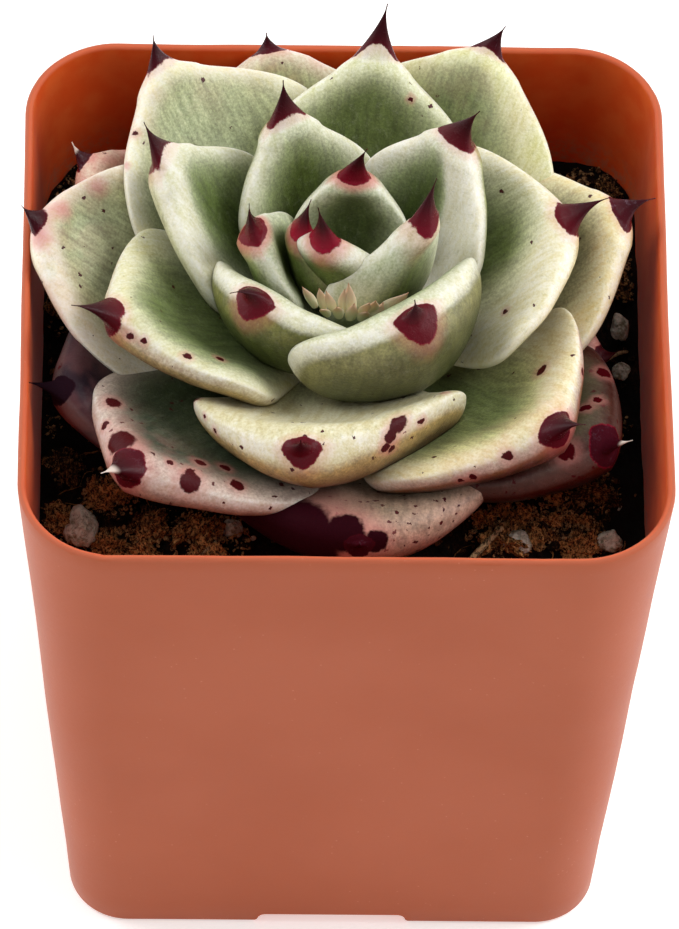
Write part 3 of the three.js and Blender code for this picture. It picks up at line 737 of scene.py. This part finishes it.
def notch_cutter(name):
    """A bar with rounded upper edges, which opens the foot at both ends."""
    half = NOTCH_WIDTH / 2
    outline = [(half + 0.9, -1.0), (half + 0.9, 0.0), (half + 0.35, 0.12)]
    for step in range(7):
        angle = math.pi / 2 * step / 6
        x = half - NOTCH_ROUND * (1 - math.cos(angle))
        outline.append((x, NOTCH_HEIGHT - NOTCH_ROUND * (1 - math.sin(angle))))
    outline += [(-x, z) for x, z in reversed(outline)]
    return loft(name, [[(x, y, z) for x, z in outline] for y in (-RIM_HALF, RIM_HALF)])


def make_pot():
    pot = loft("pot_shell", uneven(pot_rings()), smooth=38)
    cutters = [notch_cutter("notch_y"), notch_cutter("notch_x")]
    cutters[1].data.transform(Matrix.Rotation(math.pi / 2, 4, "Z"))
    for x in (-DRAIN_OFFSET, DRAIN_OFFSET):
        for y in (-DRAIN_OFFSET, DRAIN_OFFSET):
            turns = np.linspace(0, 2 * math.pi, 32, endpoint=False)
            circle = np.stack([x + DRAIN_RADIUS * np.cos(turns), y + DRAIN_RADIUS * np.sin(turns)], 1)
            cutters.append(loft("drain", [[(px, py, z) for px, py in circle] for z in (0.5, 5.0)]))
    apply_boolean(pot, cutters)
    for cutter in cutters:
        remove(cutter)
    shade(pot.data, 38)
    finish_piece(pot, "pot_plastic", pot_material(), "pot")


# Soil
# Clods of lighter peat: place, how far each spreads, how high it stands and how light it is
CLODS = [
    (-10.8, -14.9, 2.9, 1.5, 1.0), (-23, -13.5, 1.5, 1, 0.6), (-18.7, -10.3, 2.2, 1.4, 0.75),
    (-17.6, -16.1, 2.6, 0.9, 0.8), (-15, -13.3, 1.6, 0.6, 0.5), (-22.7, -7.7, 1.6, 0.8, 0.4),
    (-23.9, -3.7, 1.2, 0.6, 0.35), (16.1, -12.1, 3.2, 1.2, 0.75), (20.4, -9.8, 2, 0.6, 0.35),
    (19, -14.5, 2.2, 1, 0.8), (12.6, -13.8, 2.4, 1, 0.7), (21.5, -3, 1.8, 0.7, 0.3),
    (-20, 20, 3, 1, 0.5), (20, 20, 3, 1, 0.4), (5, -21, 2.5, 0.8, 0.5), (0, 22, 3, 0.8, 0.4),
    (-5.5, -21.4, 2, 0.7, 0.5), (23, 12, 2, 0.8, 0.4), (-23, 8, 2, 0.8, 0.4),
]


def near_clods(x, y, value):
    """The largest of the clods' heights or tones at a place; value is 3 for height and 4 for tone."""
    return max(clod[value] * math.exp(-((x - clod[0]) ** 2 + (y - clod[1]) ** 2) / clod[2] ** 2)
               for clod in CLODS)


def ground(x, y):
    """Height of the soil's surface at a place."""
    place = Vector((x, y, 0.0))
    lumps = noise.noise(place * 0.3) * 0.45 + noise.noise(place * 0.8 + Vector((7, 3, 1))) * 0.35
    fine = noise.fractal(place * 1.6, 1.0, 2.0, 4) * 0.22
    return SOIL_LEVEL - 0.45 + near_clods(x, y, 3) + lumps + fine


def make_soil():
    floor_top = FOOT_RISE + FLOOR
    steps = dict(corner_steps=12, side_steps=44)
    bottom = wall_ring(wall_thickness(floor_top) + GAP, floor_top + GAP, **steps)
    edge = wall_ring(wall_thickness(SOIL_LEVEL) + SOIL_CLEAR, SOIL_LEVEL, **steps)
    rings = [bottom, wall_ring(wall_thickness(30) + SOIL_CLEAR, 30, **steps)]
    for index in range(SOIL_RINGS):
        ring = edge.copy()
        ring[:, :2] *= (1 - index / SOIL_RINGS) ** 0.9
        for point in ring:
            point[2] = ground(point[0], point[1])
        rings.append(ring)
    soil = loft("soil_body", rings, smooth=80)
    point_values(soil.data, "tone", [0.25 + 0.5 * noise.noise(v.co * 350) for v in soil.data.vertices])
    finish_piece(soil, "soil", soil_material("soil_peat", "#0b0806", "#4a2c18"), "soil")


def inside_pot(x, y, margin):
    """Whether a place on the soil is at least the margin away from the pot's wall."""
    half = mix(FOOT_HALF, RIM_HALF, SOIL_LEVEL / POT_HEIGHT) - RIM_THICKNESS - margin
    corner = 5.0
    over = max(abs(x) - half + corner, 0), max(abs(y) - half + corner, 0)
    return math.hypot(*over) < corner


def on_soil(rng, margin):
    """A random place on the soil inside the pot's wall."""
    while True:
        x, y = rng.uniform(-RIM_HALF, RIM_HALF), rng.uniform(-RIM_HALF, RIM_HALF)
        if inside_pot(x, y, margin):
            return x, y


def merged(name, parts, smooth):
    """One object from many small parts, each given as points in millimetres, faces and a tone."""
    verts, faces, tones = [], [], []
    for points, cells, tone in parts:
        start = len(verts)
        verts.extend(points)
        faces.extend([tuple(start + i for i in cell) for cell in cells])
        tones.extend([tone] * len(points))
    piece = mesh_object(name, np.array(verts) * MM, faces, smooth)
    point_values(piece.data, "tone", tones)
    return piece


def lump(rng, size, stretch, rough=0.35, level=2):
    """A rough little ball: its points and faces."""
    sculpt = bmesh.new()
    bmesh.ops.create_icosphere(sculpt, subdivisions=level, radius=1)
    shift = Vector((rng.uniform(-50, 50), rng.uniform(-50, 50), rng.uniform(-50, 50)))
    turn = Matrix.Rotation(rng.uniform(0, 6.28), 3, "Z") @ Matrix.Rotation(rng.uniform(0, 6.28), 3, "X")
    points = []
    for vert in sculpt.verts:
        coarse, fine = noise.noise(vert.co * 1.3 + shift), noise.noise(vert.co * 3.1 + shift)
        swell = 1 + rough * 1.6 * coarse + rough * fine
        points.append(turn @ (vert.co * Vector(stretch) * swell * size))
    cells = [[vert.index for vert in face.verts] for face in sculpt.faces]
    sculpt.free()
    return points, cells


def crumb(rng, x, y, size, rise, tone):
    """One crumb on the soil: its points, faces and tone."""
    stretch = (1, rng.uniform(0.4, 1), rng.uniform(0.4, 0.9))
    points, cells = lump(rng, size, stretch, level=1 if size < 0.2 else 2)
    place = Vector((x, y, ground(x, y) + size * 0.35 + rise))
    return [point + place for point in points], cells, tone


def make_chunks():
    """The rough pieces of fibrous peat that the clods are made of."""
    rng = random.Random(11)
    chunks = []
    for clod in CLODS:
        for _ in range(round(3 + 2 * clod[2])):
            turn, reach = rng.uniform(0, 6.28), clod[2] * 0.8 * math.sqrt(rng.random())
            x, y = clod[0] + reach * math.cos(turn), clod[1] + reach * math.sin(turn)
            size = rng.uniform(0.6, 1.3)
            if not inside_pot(x, y, size + 0.2):
                continue
            stretch = (1, rng.uniform(0.55, 0.9), rng.uniform(0.4, 0.7))
            points, cells = lump(rng, size, stretch, rough=0.3, level=4)
            place = Vector((x, y, ground(x, y) + size * 0.1))
            grown = []
            for point in points:
                knobs = noise.fractal(point * 3.2 + place, 0.7, 2.2, 4)
                grown.append(point * (1 + 0.42 * knobs) + place)
            chunks.append((grown, cells, rng.uniform(0.15, 0.4) + 0.45 * clod[4]))
    piece = merged("soil_chunks", chunks, smooth=35)
    finish_piece(piece, "soil", soil_material("soil_chunk", "#2a1409", "#eeb06c"))


def make_crumbs():
    rng = random.Random(4)
    loose = []
    while len(loose) < CRUMBS:
        x, y = on_soil(rng, 0.6)
        size = rng.uniform(0.12, 0.28) + 0.34 * rng.random() ** 4
        tone = 1.7 if rng.random() < 0.015 else rng.uniform(-0.2, 0.75)
        loose.append(crumb(rng, x, y, size, 0, tone))
    crumbs = merged("soil_crumbs", loose, smooth=50)
    finish_piece(crumbs, "soil", soil_material("soil_crumb", "#130c07", "#8a603a"))

    heaped = []
    weights = [clod[2] ** 2 for clod in CLODS]
    while len(heaped) < CLOD_CRUMBS:
        clod = rng.choices(CLODS, weights)[0]
        turn, reach = rng.uniform(0, 6.28), clod[2] * 1.15 * math.sqrt(rng.random())
        x, y = clod[0] + reach * math.cos(turn), clod[1] + reach * math.sin(turn)
        if not inside_pot(x, y, 0.5):
            continue
        size = rng.uniform(0.09, 0.24)
        tone = rng.uniform(0.1, 0.6) + clod[4] * rng.uniform(0.2, 0.75)
        heaped.append(crumb(rng, x, y, size, 0.25 * rng.random(), tone))
    clods = merged("soil_clods", heaped, smooth=50)
    finish_piece(clods, "soil", soil_material("soil_clod", "#24130a", "#d8ac76"))


def strand(points, radius, sides=5):
    """A thin closed tube along points: its own points and faces."""
    rings = []
    for index, point in enumerate(points):
        ahead = points[min(index + 1, len(points) - 1)] - points[max(index - 1, 0)]
        along = ahead.normalized()
        side = along.cross(Vector((0.3, 0.2, 1))).normalized()
        up = side.cross(along)
        share = index / (len(points) - 1)
        taper = radius * (0.45 + 0.55 * math.sin(math.pi * (0.15 + 0.7 * share)))
        rings.append([point + side * taper * math.cos(a) + up * taper * math.sin(a)
                      for a in np.linspace(0, 2 * math.pi, sides, endpoint=False)])
    verts = [vert for ring in rings for vert in ring] + [points[0], points[-1]]
    return verts, tube_faces(len(rings), sides)


def make_fibres():
    rng = random.Random(9)
    parts = []
    while len(parts) < FIBRES:
        x, y = on_soil(rng, 1.6)
        clod = near_clods(x, y, 4)
        if rng.random() > 0.35 + clod:
            continue
        heading, bend = rng.uniform(0, 6.28), rng.uniform(-0.5, 0.5)
        length = rng.uniform(0.8, 2.2) + 1.5 * rng.random() ** 4
        points, here = [], Vector((x, y, 0))
        lift = rng.uniform(0.05, 0.35) + 0.4 * clod
        for step in range(7):
            arch = lift * math.sin(math.pi * step / 6)
            points.append(Vector((here.x, here.y, ground(here.x, here.y) + 0.08 + arch)))
            heading += bend + rng.uniform(-0.25, 0.25)
            here += Vector((math.cos(heading), math.sin(heading), 0)) * length / 6
        half = mix(FOOT_HALF, RIM_HALF, SOIL_LEVEL / POT_HEIGHT) - RIM_THICKNESS - 0.4
        if max(abs(here.x), abs(here.y)) > half:
            continue
        verts, cells = strand(points, rng.uniform(0.04, 0.09))
        parts.append((verts, cells, rng.uniform(0.5, 1.15)))
    fibres = merged("soil_fibres", parts, smooth=80)
    finish_piece(fibres, "soil", soil_material("soil_fibre", "#2a1a0e", "#b8864e"))


# Straws that lie on the soil: both ends, and radius
STRAWS = [
    ((9.0, -18.4), (12.8, -14.2), 0.28), ((21.6, 3.4), (23.4, 4.6), 0.16),
    ((18.2, -17.6), (19.4, -13.2), 0.12), ((17.0, -14.6), (20.6, -15.4), 0.1),
    ((-12.6, -18.2), (-10.0, -15.6), 0.2),
]


def make_straws():
    parts = []
    for (x0, y0), (x1, y1), radius in STRAWS:
        points = []
        for step in range(9):
            share = step / 8
            x, y = mix(x0, x1, share), mix(y0, y1, share)
            height = mix(ground(x0, y0), ground(x1, y1), share)
            bow = 0.3 * math.sin(math.pi * share)
            level = max(height, ground(x, y)) * 0.5 + height * 0.5
            points.append(Vector((x, y, level + radius + 0.15 + bow)))
        verts, cells = strand(points, radius, sides=8)
        parts.append((verts, cells, 0.9))
    straws = merged("straws", parts, smooth=70)
    finish_piece(straws, "soil", soil_material("straw", "#8a6a40", "#d9b98a"))


def make_perlite():
    material = perlite_material()
    for index in range(1, 7):
        node = f"perlite_{index}"
        low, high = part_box(node)
        rng = random.Random(20 + index)
        sculpt = bmesh.new()
        bmesh.ops.create_icosphere(sculpt, subdivisions=4, radius=1)
        shift = Vector((rng.uniform(-9, 9),) * 3)
        half, middle = (high - low) / 2, (high + low) / 2
        for vert in sculpt.verts:
            swell = 1 + 0.28 * noise.noise(vert.co * 1.1 + shift) + 0.1 * noise.noise(vert.co * 3 + shift)
            pits = 0.06 * noise.fractal(vert.co * 5 + shift, 1.0, 2.0, 3)
            vert.co = vert.co * (swell + pits) * half * 1.05 + middle
        mesh = bpy.data.meshes.new(f"{node}_lump")
        sculpt.to_mesh(mesh)
        sculpt.free()
        shade(mesh, 50)
        finish_piece(new_piece(mesh.name, mesh), "perlite", material, node)


def make_stem():
    """The part's own stem, hidden under the leaves, with bark on it."""
    stem = frame["nodes"]["stem"]
    stem.data.materials.clear()
    stem.data.materials.append(stem_material())


# Leaves
def stations(leaf, length):
    """Shares along the blade and distances past the apex, from the leaf's foot to the thorn's end."""
    even = np.linspace(0, 1, BODY_STEPS)
    share = 1 - (1 - even) ** 1.35
    share = share[:-1]
    thorn = np.linspace(0, 1, THORN_STEPS) ** 1.1
    shares = np.concatenate([share, np.ones(THORN_STEPS)])
    long = leaf["thorn"] + leaf["awn"]
    past = np.concatenate([(share - 1) * length, thorn * long])
    thorns = np.concatenate([np.zeros(len(share)), thorn * long / leaf["thorn"]])
    return shares, past, thorns


def blade_half(leaf, share):
    spread = mix(BASE_WIDTH, 1, smoothstep(share, 0, WIDEST_AT))
    past = np.clip((share - WIDEST_AT) / (1 - WIDEST_AT), 0, 1)
    pinch = 1 - PINCH * np.exp((share - 1) / PINCH_REACH)
    return leaf["width"] / 2 * spread * pinch * (1 - past ** leaf["shoulder"]) ** leaf["blunt"]


def blade_thickness(leaf, share, length):
    swell = mix(BASE_THICKNESS, 1, smoothstep(share, 0, 0.45))
    taper = 1 - THINNING * smoothstep(share, 0.45, 0.95)
    round_from = 1 - min(0.5, 0.5 * leaf["thick"] / length)
    past = np.clip((share - round_from) / (1 - round_from), 0, 1)
    return leaf["thick"] * swell * taper * np.sqrt(1 - past ** 2.2)


def thorn_radius(leaf, past):
    whole = leaf["thorn"] + leaf["awn"] + THORN_SEAT
    along = np.clip((past + THORN_SEAT) / whole, 0, 1)
    return np.maximum(THORN_TIP, leaf["seat"] * (1 - along) ** 1.7) * smoothstep(past, -4.0, -0.6)


def waviness(leaf, share, x):
    """Slight uneven waves of a blade, in millimetres, different for every leaf."""
    shift = leaf["azimuth"] * 0.1
    slow = np.sin(share * 7 + shift)[:, None] * np.sin(x * 0.35 + 2 * shift)
    quick = np.sin(share * 19 + 3 * shift)[:, None] * np.sin(x * 0.9 + shift)
    return 0.16 * slow + 0.06 * quick


def midrib(leaf, share, past, thorn, length, gap):
    """Points of a leaf's middle line, and the direction straight up from its upper face at each."""
    foot, apex = leaf_ends(leaf)
    chord = apex - foot
    bend = (foot + apex) / 2 + 2 * leaf["bow"] * np.array([chord[1], -chord[0]]) / length
    s, r = share[:, None], 1 - share[:, None]
    place = foot * r ** 2 + bend * 2 * s * r + apex * s ** 2
    along = (bend - foot) * r + (apex - bend) * s
    along /= np.linalg.norm(along, axis=1)[:, None]
    over = np.stack([-along[:, 1], along[:, 0]], 1)
    end = np.zeros(len(share))
    end[0], end[-1] = -gap, gap
    place = place + along * (np.maximum(0, past) + end)[:, None]
    place = place + over * (leaf["hook"] * thorn ** 2)[:, None]
    out, side, up = leaf_axes(leaf)
    middle = np.array(AXIS) + out * place[:, :1] + up * place[:, 1:]
    middle = middle + side * (leaf["sway"] * share ** 2 + leaf["lean"] * thorn ** 1.3)[:, None]
    return middle, out * over[:, :1] + up * over[:, 1:]


def leaf_ends(leaf):
    """The foot and the apex, each as a distance from the stem's axis and a height."""
    return np.array([leaf["start"], leaf["base"]], float), np.array([leaf["reach"], leaf["apex"]], float)


def leaf_axes(leaf):
    azimuth = math.radians(leaf["azimuth"])
    cos, sin = math.cos(azimuth), math.sin(azimuth)
    return np.array([cos, sin, 0]), np.array([-sin, cos, 0]), np.array([0, 0, 1])


def power(value, exponent):
    """A power that keeps its sign."""
    return np.sign(value) * np.abs(value) ** exponent


def leaf_grid(leaf, gap=0.0):
    """Points of a leaf's skin in millimetres, as rings by sides, and the skin's own coordinates there."""
    foot, apex = leaf_ends(leaf)
    length = np.hypot(*(apex - foot))
    share, past, thorn = stations(leaf, length)
    middle, normal = midrib(leaf, share, past, thorn, length, gap)
    radius = thorn_radius(leaf, past)
    half = (blend(blade_half(leaf, share), radius, 3) + gap)[:, None]
    thick = blend(blade_thickness(leaf, share, length), 1.15 * radius, 4) + 2 * gap
    channel = CHANNEL * thick * smoothstep(share, 0.05, 0.4) * (1 - smoothstep(share, 0.6, 0.99))
    keel = KEEL * thick * smoothstep(share, 0.2, 0.6)
    cup = leaf["cup"] * leaf["width"] / 2 * smoothstep(share, 0.1, 0.75)

    angle = np.linspace(0, 2 * math.pi, LEAF_SIDES, endpoint=False)
    above = np.sin(angle) > 0
    across = power(np.cos(angle), np.where(above, ABOVE_ACROSS, 2 / MARGIN_POWER))
    rise = power(np.sin(angle), np.where(above, ABOVE_RISE, 2 / MARGIN_POWER))
    x = half * across
    upper = UPPER_SHARE * thick[:, None] * rise - channel[:, None] * (1 - across ** 2) * rise
    lower = (1 - UPPER_SHARE) * thick[:, None] * rise - keel[:, None] * (1 - np.abs(across)) ** 1.5
    height = np.where(rise > 0, upper, lower)
    z = cup[:, None] * (x / (leaf["width"] / 2)) ** 2 + height
    z = z + waviness(leaf, share, x) * smoothstep(np.maximum(0, -past), 0.3, 3)[:, None]
    roll = (math.radians(leaf["roll"]) * smoothstep(share, 0, 0.6))[:, None]
    _, side, _ = leaf_axes(leaf)
    points = middle[:, None] + side * (x * np.cos(roll) - z * np.sin(roll))[..., None]
    points = points + normal[:, None] * (x * np.sin(roll) + z * np.cos(roll))[..., None]
    return points, skin_coordinates(leaf, x, height, rise, (1 - np.abs(across)) * half, past, share)


def skin_coordinates(leaf, x, height, rise, from_side, past, share):
    """What is known at every place: inset is the distance from the cream margin, patch from the thorn."""
    grid = np.ones_like(x)
    before = np.maximum(0, -past)[:, None]
    rim, slope = leaf["apex_band"]
    from_apex = (rim + slope * before) * grid
    inset = 0.25 - INSET_SOFT * np.log(np.exp(-from_side / INSET_SOFT) + np.exp(-from_apex / INSET_SOFT))
    lopsided = smoothstep(x * np.sign(leaf["lop"]), -1, 3) * abs(leaf["lop"])
    both = leaf["lop_below"]
    inset = np.where((rise > 0) | both, inset - lopsided * smoothstep(inset, 0, 0.5), inset)
    inset = inset + np.maximum(0, -height) * (1 - both)
    wide = leaf["wide"] * leaf["seat"]
    reach = np.where(height > 0, *leaf["patch"])
    patch = (before / reach) ** 1.6 + (np.abs(x) / wide) ** 1.6 + (np.abs(height) / reach) ** 1.6
    return dict(across=x, height=height, face=np.clip(3 * rise, -1, 1) * grid, inset=inset,
                margin=np.minimum(from_side, before), patch=(patch ** 0.625 - 1) * wide,
                past=past[:, None] * grid, share=share[:, None] * grid)


def leaf_mesh(name, leaf, gap=0.0):
    points, coordinates = leaf_grid(leaf, gap)
    piece = loft(name, points, smooth=50)
    for key in COORDINATES:
        values = coordinates[key]
        ends = [values[0].mean(), values[-1].mean()]
        point_values(piece.data, key, np.concatenate([values.ravel(), ends]).astype(np.float32))
    return piece


def overlap(a, b):
    low_a, high_a = np.array(a.bound_box[0]), np.array(a.bound_box[6])
    low_b, high_b = np.array(b.bound_box[0]), np.array(b.bound_box[6])
    return bool(np.all(low_a < high_b) and np.all(low_b < high_a))


def carry_coordinates(whole, mesh):
    """Gives a cut leaf the skin coordinates of the whole one, from the nearest place on its skin."""
    source = whole.data
    tree = BVHTree.FromObject(whole, bpy.context.evaluated_depsgraph_get())
    known = np.zeros((len(COORDINATES), len(source.vertices)), np.float32)
    for row, name in zip(known, COORDINATES):
        source.attributes[name].data.foreach_get("value", row)
    found = np.zeros((len(COORDINATES), len(mesh.vertices)), np.float32)
    for index, vert in enumerate(mesh.vertices):
        spot, _, face, _ = tree.find_nearest(vert.co)
        corners = list(source.polygons[face].vertices)
        weights = np.array([1 / ((source.vertices[c].co - spot).length + 1e-7) for c in corners])
        found[:, index] = known[:, corners] @ (weights / weights.sum())
    for row, name in zip(found, COORDINATES):
        old = mesh.attributes.get(name)
        if old:
            mesh.attributes.remove(old)
        point_values(mesh, name, row)


def make_leaves():
    wholes, cutters = [], []
    for index, leaf in enumerate(LEAVES):
        leaf = {**leaf, **LOOKS.get(index + 1, {})}
        name = f"leaf_{index + 1:02d}"
        piece = leaf_mesh(f"{name}_skin", leaf)
        wholes.append(new_piece("whole", piece.data.copy()))
        bpy.context.view_layer.update()
        inner = [cutter for cutter in cutters if overlap(piece, cutter)]
        if inner:
            apply_boolean(piece, inner)
            keep_largest(piece.data)
            carry_coordinates(wholes[-1], piece.data)
            shade(piece.data, 50)
        cutters.append(leaf_mesh("cutter", leaf, CONTACT))
        finish_piece(piece, frame_slot(name), leaf_material(f"{name}_skin", leaf), name)
    for spare in wholes + cutters:
        remove(spare)


def frame_slot(node):
    parts = frame["record"]["subparts"]
    return next(part["material_slot"] for part in parts if part["node"] == node)


# Flower bud
# Bracts of the tuft: the foot's place, the lean to the right in degrees, the length and the width
BRACTS = [
    (-2.48, -2.8, 60.85, -16, 2.7, 0.8), (-1.8, -2.9, 60.75, -6, 2.9, 0.8),
    (-1.02, -3, 60.65, -10, 2.6, 0.8), (-0.35, -3.1, 60.55, 2, 2.9, 0.8),
    (0.44, -3.15, 60.45, -4, 3.5, 0.95), (1.22, -3.15, 60.35, 8, 2.9, 0.9),
    (2, -3.15, 60.35, 4, 2.8, 1), (2.79, -3.1, 60.35, 24, 3.6, 1.5),
    (-1.47, -3.3, 60.35, -14, 1.9, 0.8), (-0.57, -3.4, 60.25, -4, 2.1, 0.9),
    (0.32, -3.5, 60.15, 5, 2.1, 1), (1.22, -3.5, 60.05, 8, 2, 1),
    (2.12, -3.5, 60.05, 16, 2, 1), (3.01, -3.4, 60.05, 32, 2.2, 1.1),
]
BRACT_RINGS = 15
BRACT_SIDES = 16


def bract(length, width, fan, tilt, curl):
    """A small pointed scale with its foot at the origin: rings of points."""
    turn = Matrix.Rotation(fan, 3, "Y") @ Matrix.Rotation(tilt, 3, "X")
    rings = []
    for step in range(BRACT_RINGS):
        share = step / (BRACT_RINGS - 1)
        half = width / 2 * math.sin(math.pi * (0.24 + 0.76 * share)) ** 1.1 + 0.012
        thick = 0.13 * (1 - 0.7 * share)
        ring = []
        for side in range(BRACT_SIDES):
            angle = 2 * math.pi * side / BRACT_SIDES
            x = half * math.cos(angle)
            y = thick * math.sin(angle) + 0.5 * x * x / width - curl * share ** 2
            ring.append(turn @ Vector((x, y, length * share)))
        rings.append(ring)
    return rings


def make_bud():
    rng = random.Random(3)
    parts = []
    for x, y, z, fan, length, width in BRACTS:
        tilt, curl = math.radians(rng.uniform(-8, 16)), rng.uniform(-0.3, 0.7)
        rings = bract(1.12 * length, width, math.radians(1.3 * fan), tilt, curl)
        verts = [vert + Vector((x, y, z)) for ring in rings for vert in ring]
        ends = [sum(rings[end], Vector()) / BRACT_SIDES + Vector((x, y, z)) for end in (0, -1)]
        parts.append((verts + ends, tube_faces(BRACT_RINGS, BRACT_SIDES), 0.0))
    bud = merged("bracts", parts, smooth=60)
    reach = [step / (BRACT_RINGS - 1) for step in range(BRACT_RINGS) for _ in range(BRACT_SIDES)] + [0, 1]
    bud.data.attributes.new("share", "FLOAT", "POINT").data.foreach_set("value", reach * len(BRACTS))
    finish_piece(bud, "bud", bract_material(), "flower_bud")


# Stage, light and camera, in metres
FLOOR_REACH = 3.0
LAMP_AIM = Vector((0, 0, 0.05))


def make_stage():
    mesh = bpy.data.meshes.new("floor")
    corners = [(x, y, 0) for x, y in ((-1, -1), (1, -1), (1, 1), (-1, 1))]
    mesh.from_pydata([Vector(corner) * FLOOR_REACH for corner in corners], [], [(0, 1, 2, 3)])
    floor = new_piece("floor", mesh)
    shader = Shader("floor_white", Specular_IOR_Level=0.1,
                    Emission_Color=linear("#ffffff"), Emission_Strength=0.42)
    tone = shader.blend(shader.noise(0.02, 2.0), "#f1f0ee", "#f8f7f6")
    mesh.materials.append(shader.finish(tone, 0.9))


def area_light(name, place, size, power):
    data = bpy.data.lights.new(name, "AREA")
    data.shape, data.size, data.energy = "DISK", size, power
    lamp = new_piece(name, data)
    lamp.location = Vector(place)
    lamp.rotation_euler = (LAMP_AIM - Vector(place)).to_track_quat("-Z", "Y").to_euler()


# Lamps round the plant: place, size and power, in metres and watts
LAMPS = {
    "right": ((0.40, 0.02, 0.47), 0.28, 1.56),
    "left": ((-0.40, 0.14, 0.44), 0.28, 0.95),
    "front": ((0.05, -0.55, 0.42), 0.16, 0.15),
}


def make_light():
    """Lamps, and a white room that is dimmer in front and overhead than behind and at the sides."""
    world = bpy.data.worlds.new("studio")
    world.use_nodes = True
    room = Nodes(world.node_tree)
    background = room.tree.nodes["Background"]
    room.put(background.inputs["Color"], (1, 1, 1, 1))
    x, y, z = room.parts(room.node("ShaderNodeTexCoord").outputs["Generated"])
    back = room.step(y, -0.85, 0.1, 0.3, 0.95)
    ceiling = room.step(z, 0.1, 0.8, 1.0, 0.66)
    walls = room.step(room.maths("ABSOLUTE", x), 0.5, 0.9, 1.0, 2.3)
    room.put(background.inputs["Strength"], room.times(room.times(back, ceiling), walls))
    bpy.context.scene.world = world
    for name, lamp in LAMPS.items():
        area_light(name, *lamp)
    bpy.context.scene.view_settings.view_transform = "Standard"


def make_camera():
    elevation, yaw, roll = (math.radians(a) for a in (CAMERA_ELEVATION, CAMERA_YAW, CAMERA_ROLL))
    flat = math.cos(elevation)
    back = Vector((math.sin(yaw) * flat, -math.cos(yaw) * flat, math.sin(elevation)))
    right = Vector((math.cos(yaw), math.sin(yaw), 0))
    up = back.cross(right)
    turned_right = right * math.cos(roll) + up * math.sin(roll)
    turned_up = up * math.cos(roll) - right * math.sin(roll)
    data = bpy.data.cameras.new("camera")
    data.sensor_fit, data.sensor_height, data.clip_end = "VERTICAL", 36, 10
    data.lens = FOCAL_PIXELS / PHOTO_HEIGHT * data.sensor_height
    camera = new_piece("camera", data)
    pose = Matrix((turned_right, turned_up, back)).transposed().to_4x4()
    pose.translation = (CAMERA_TARGET + back * CAMERA_DISTANCE) * MM
    camera.matrix_world = pose
    bpy.context.scene.camera = camera


make_camera()
make_light()
make_stage()
make_pot()
make_soil()
make_chunks()
make_crumbs()
make_fibres()
make_straws()
make_perlite()
make_stem()
make_leaves()
make_bud()
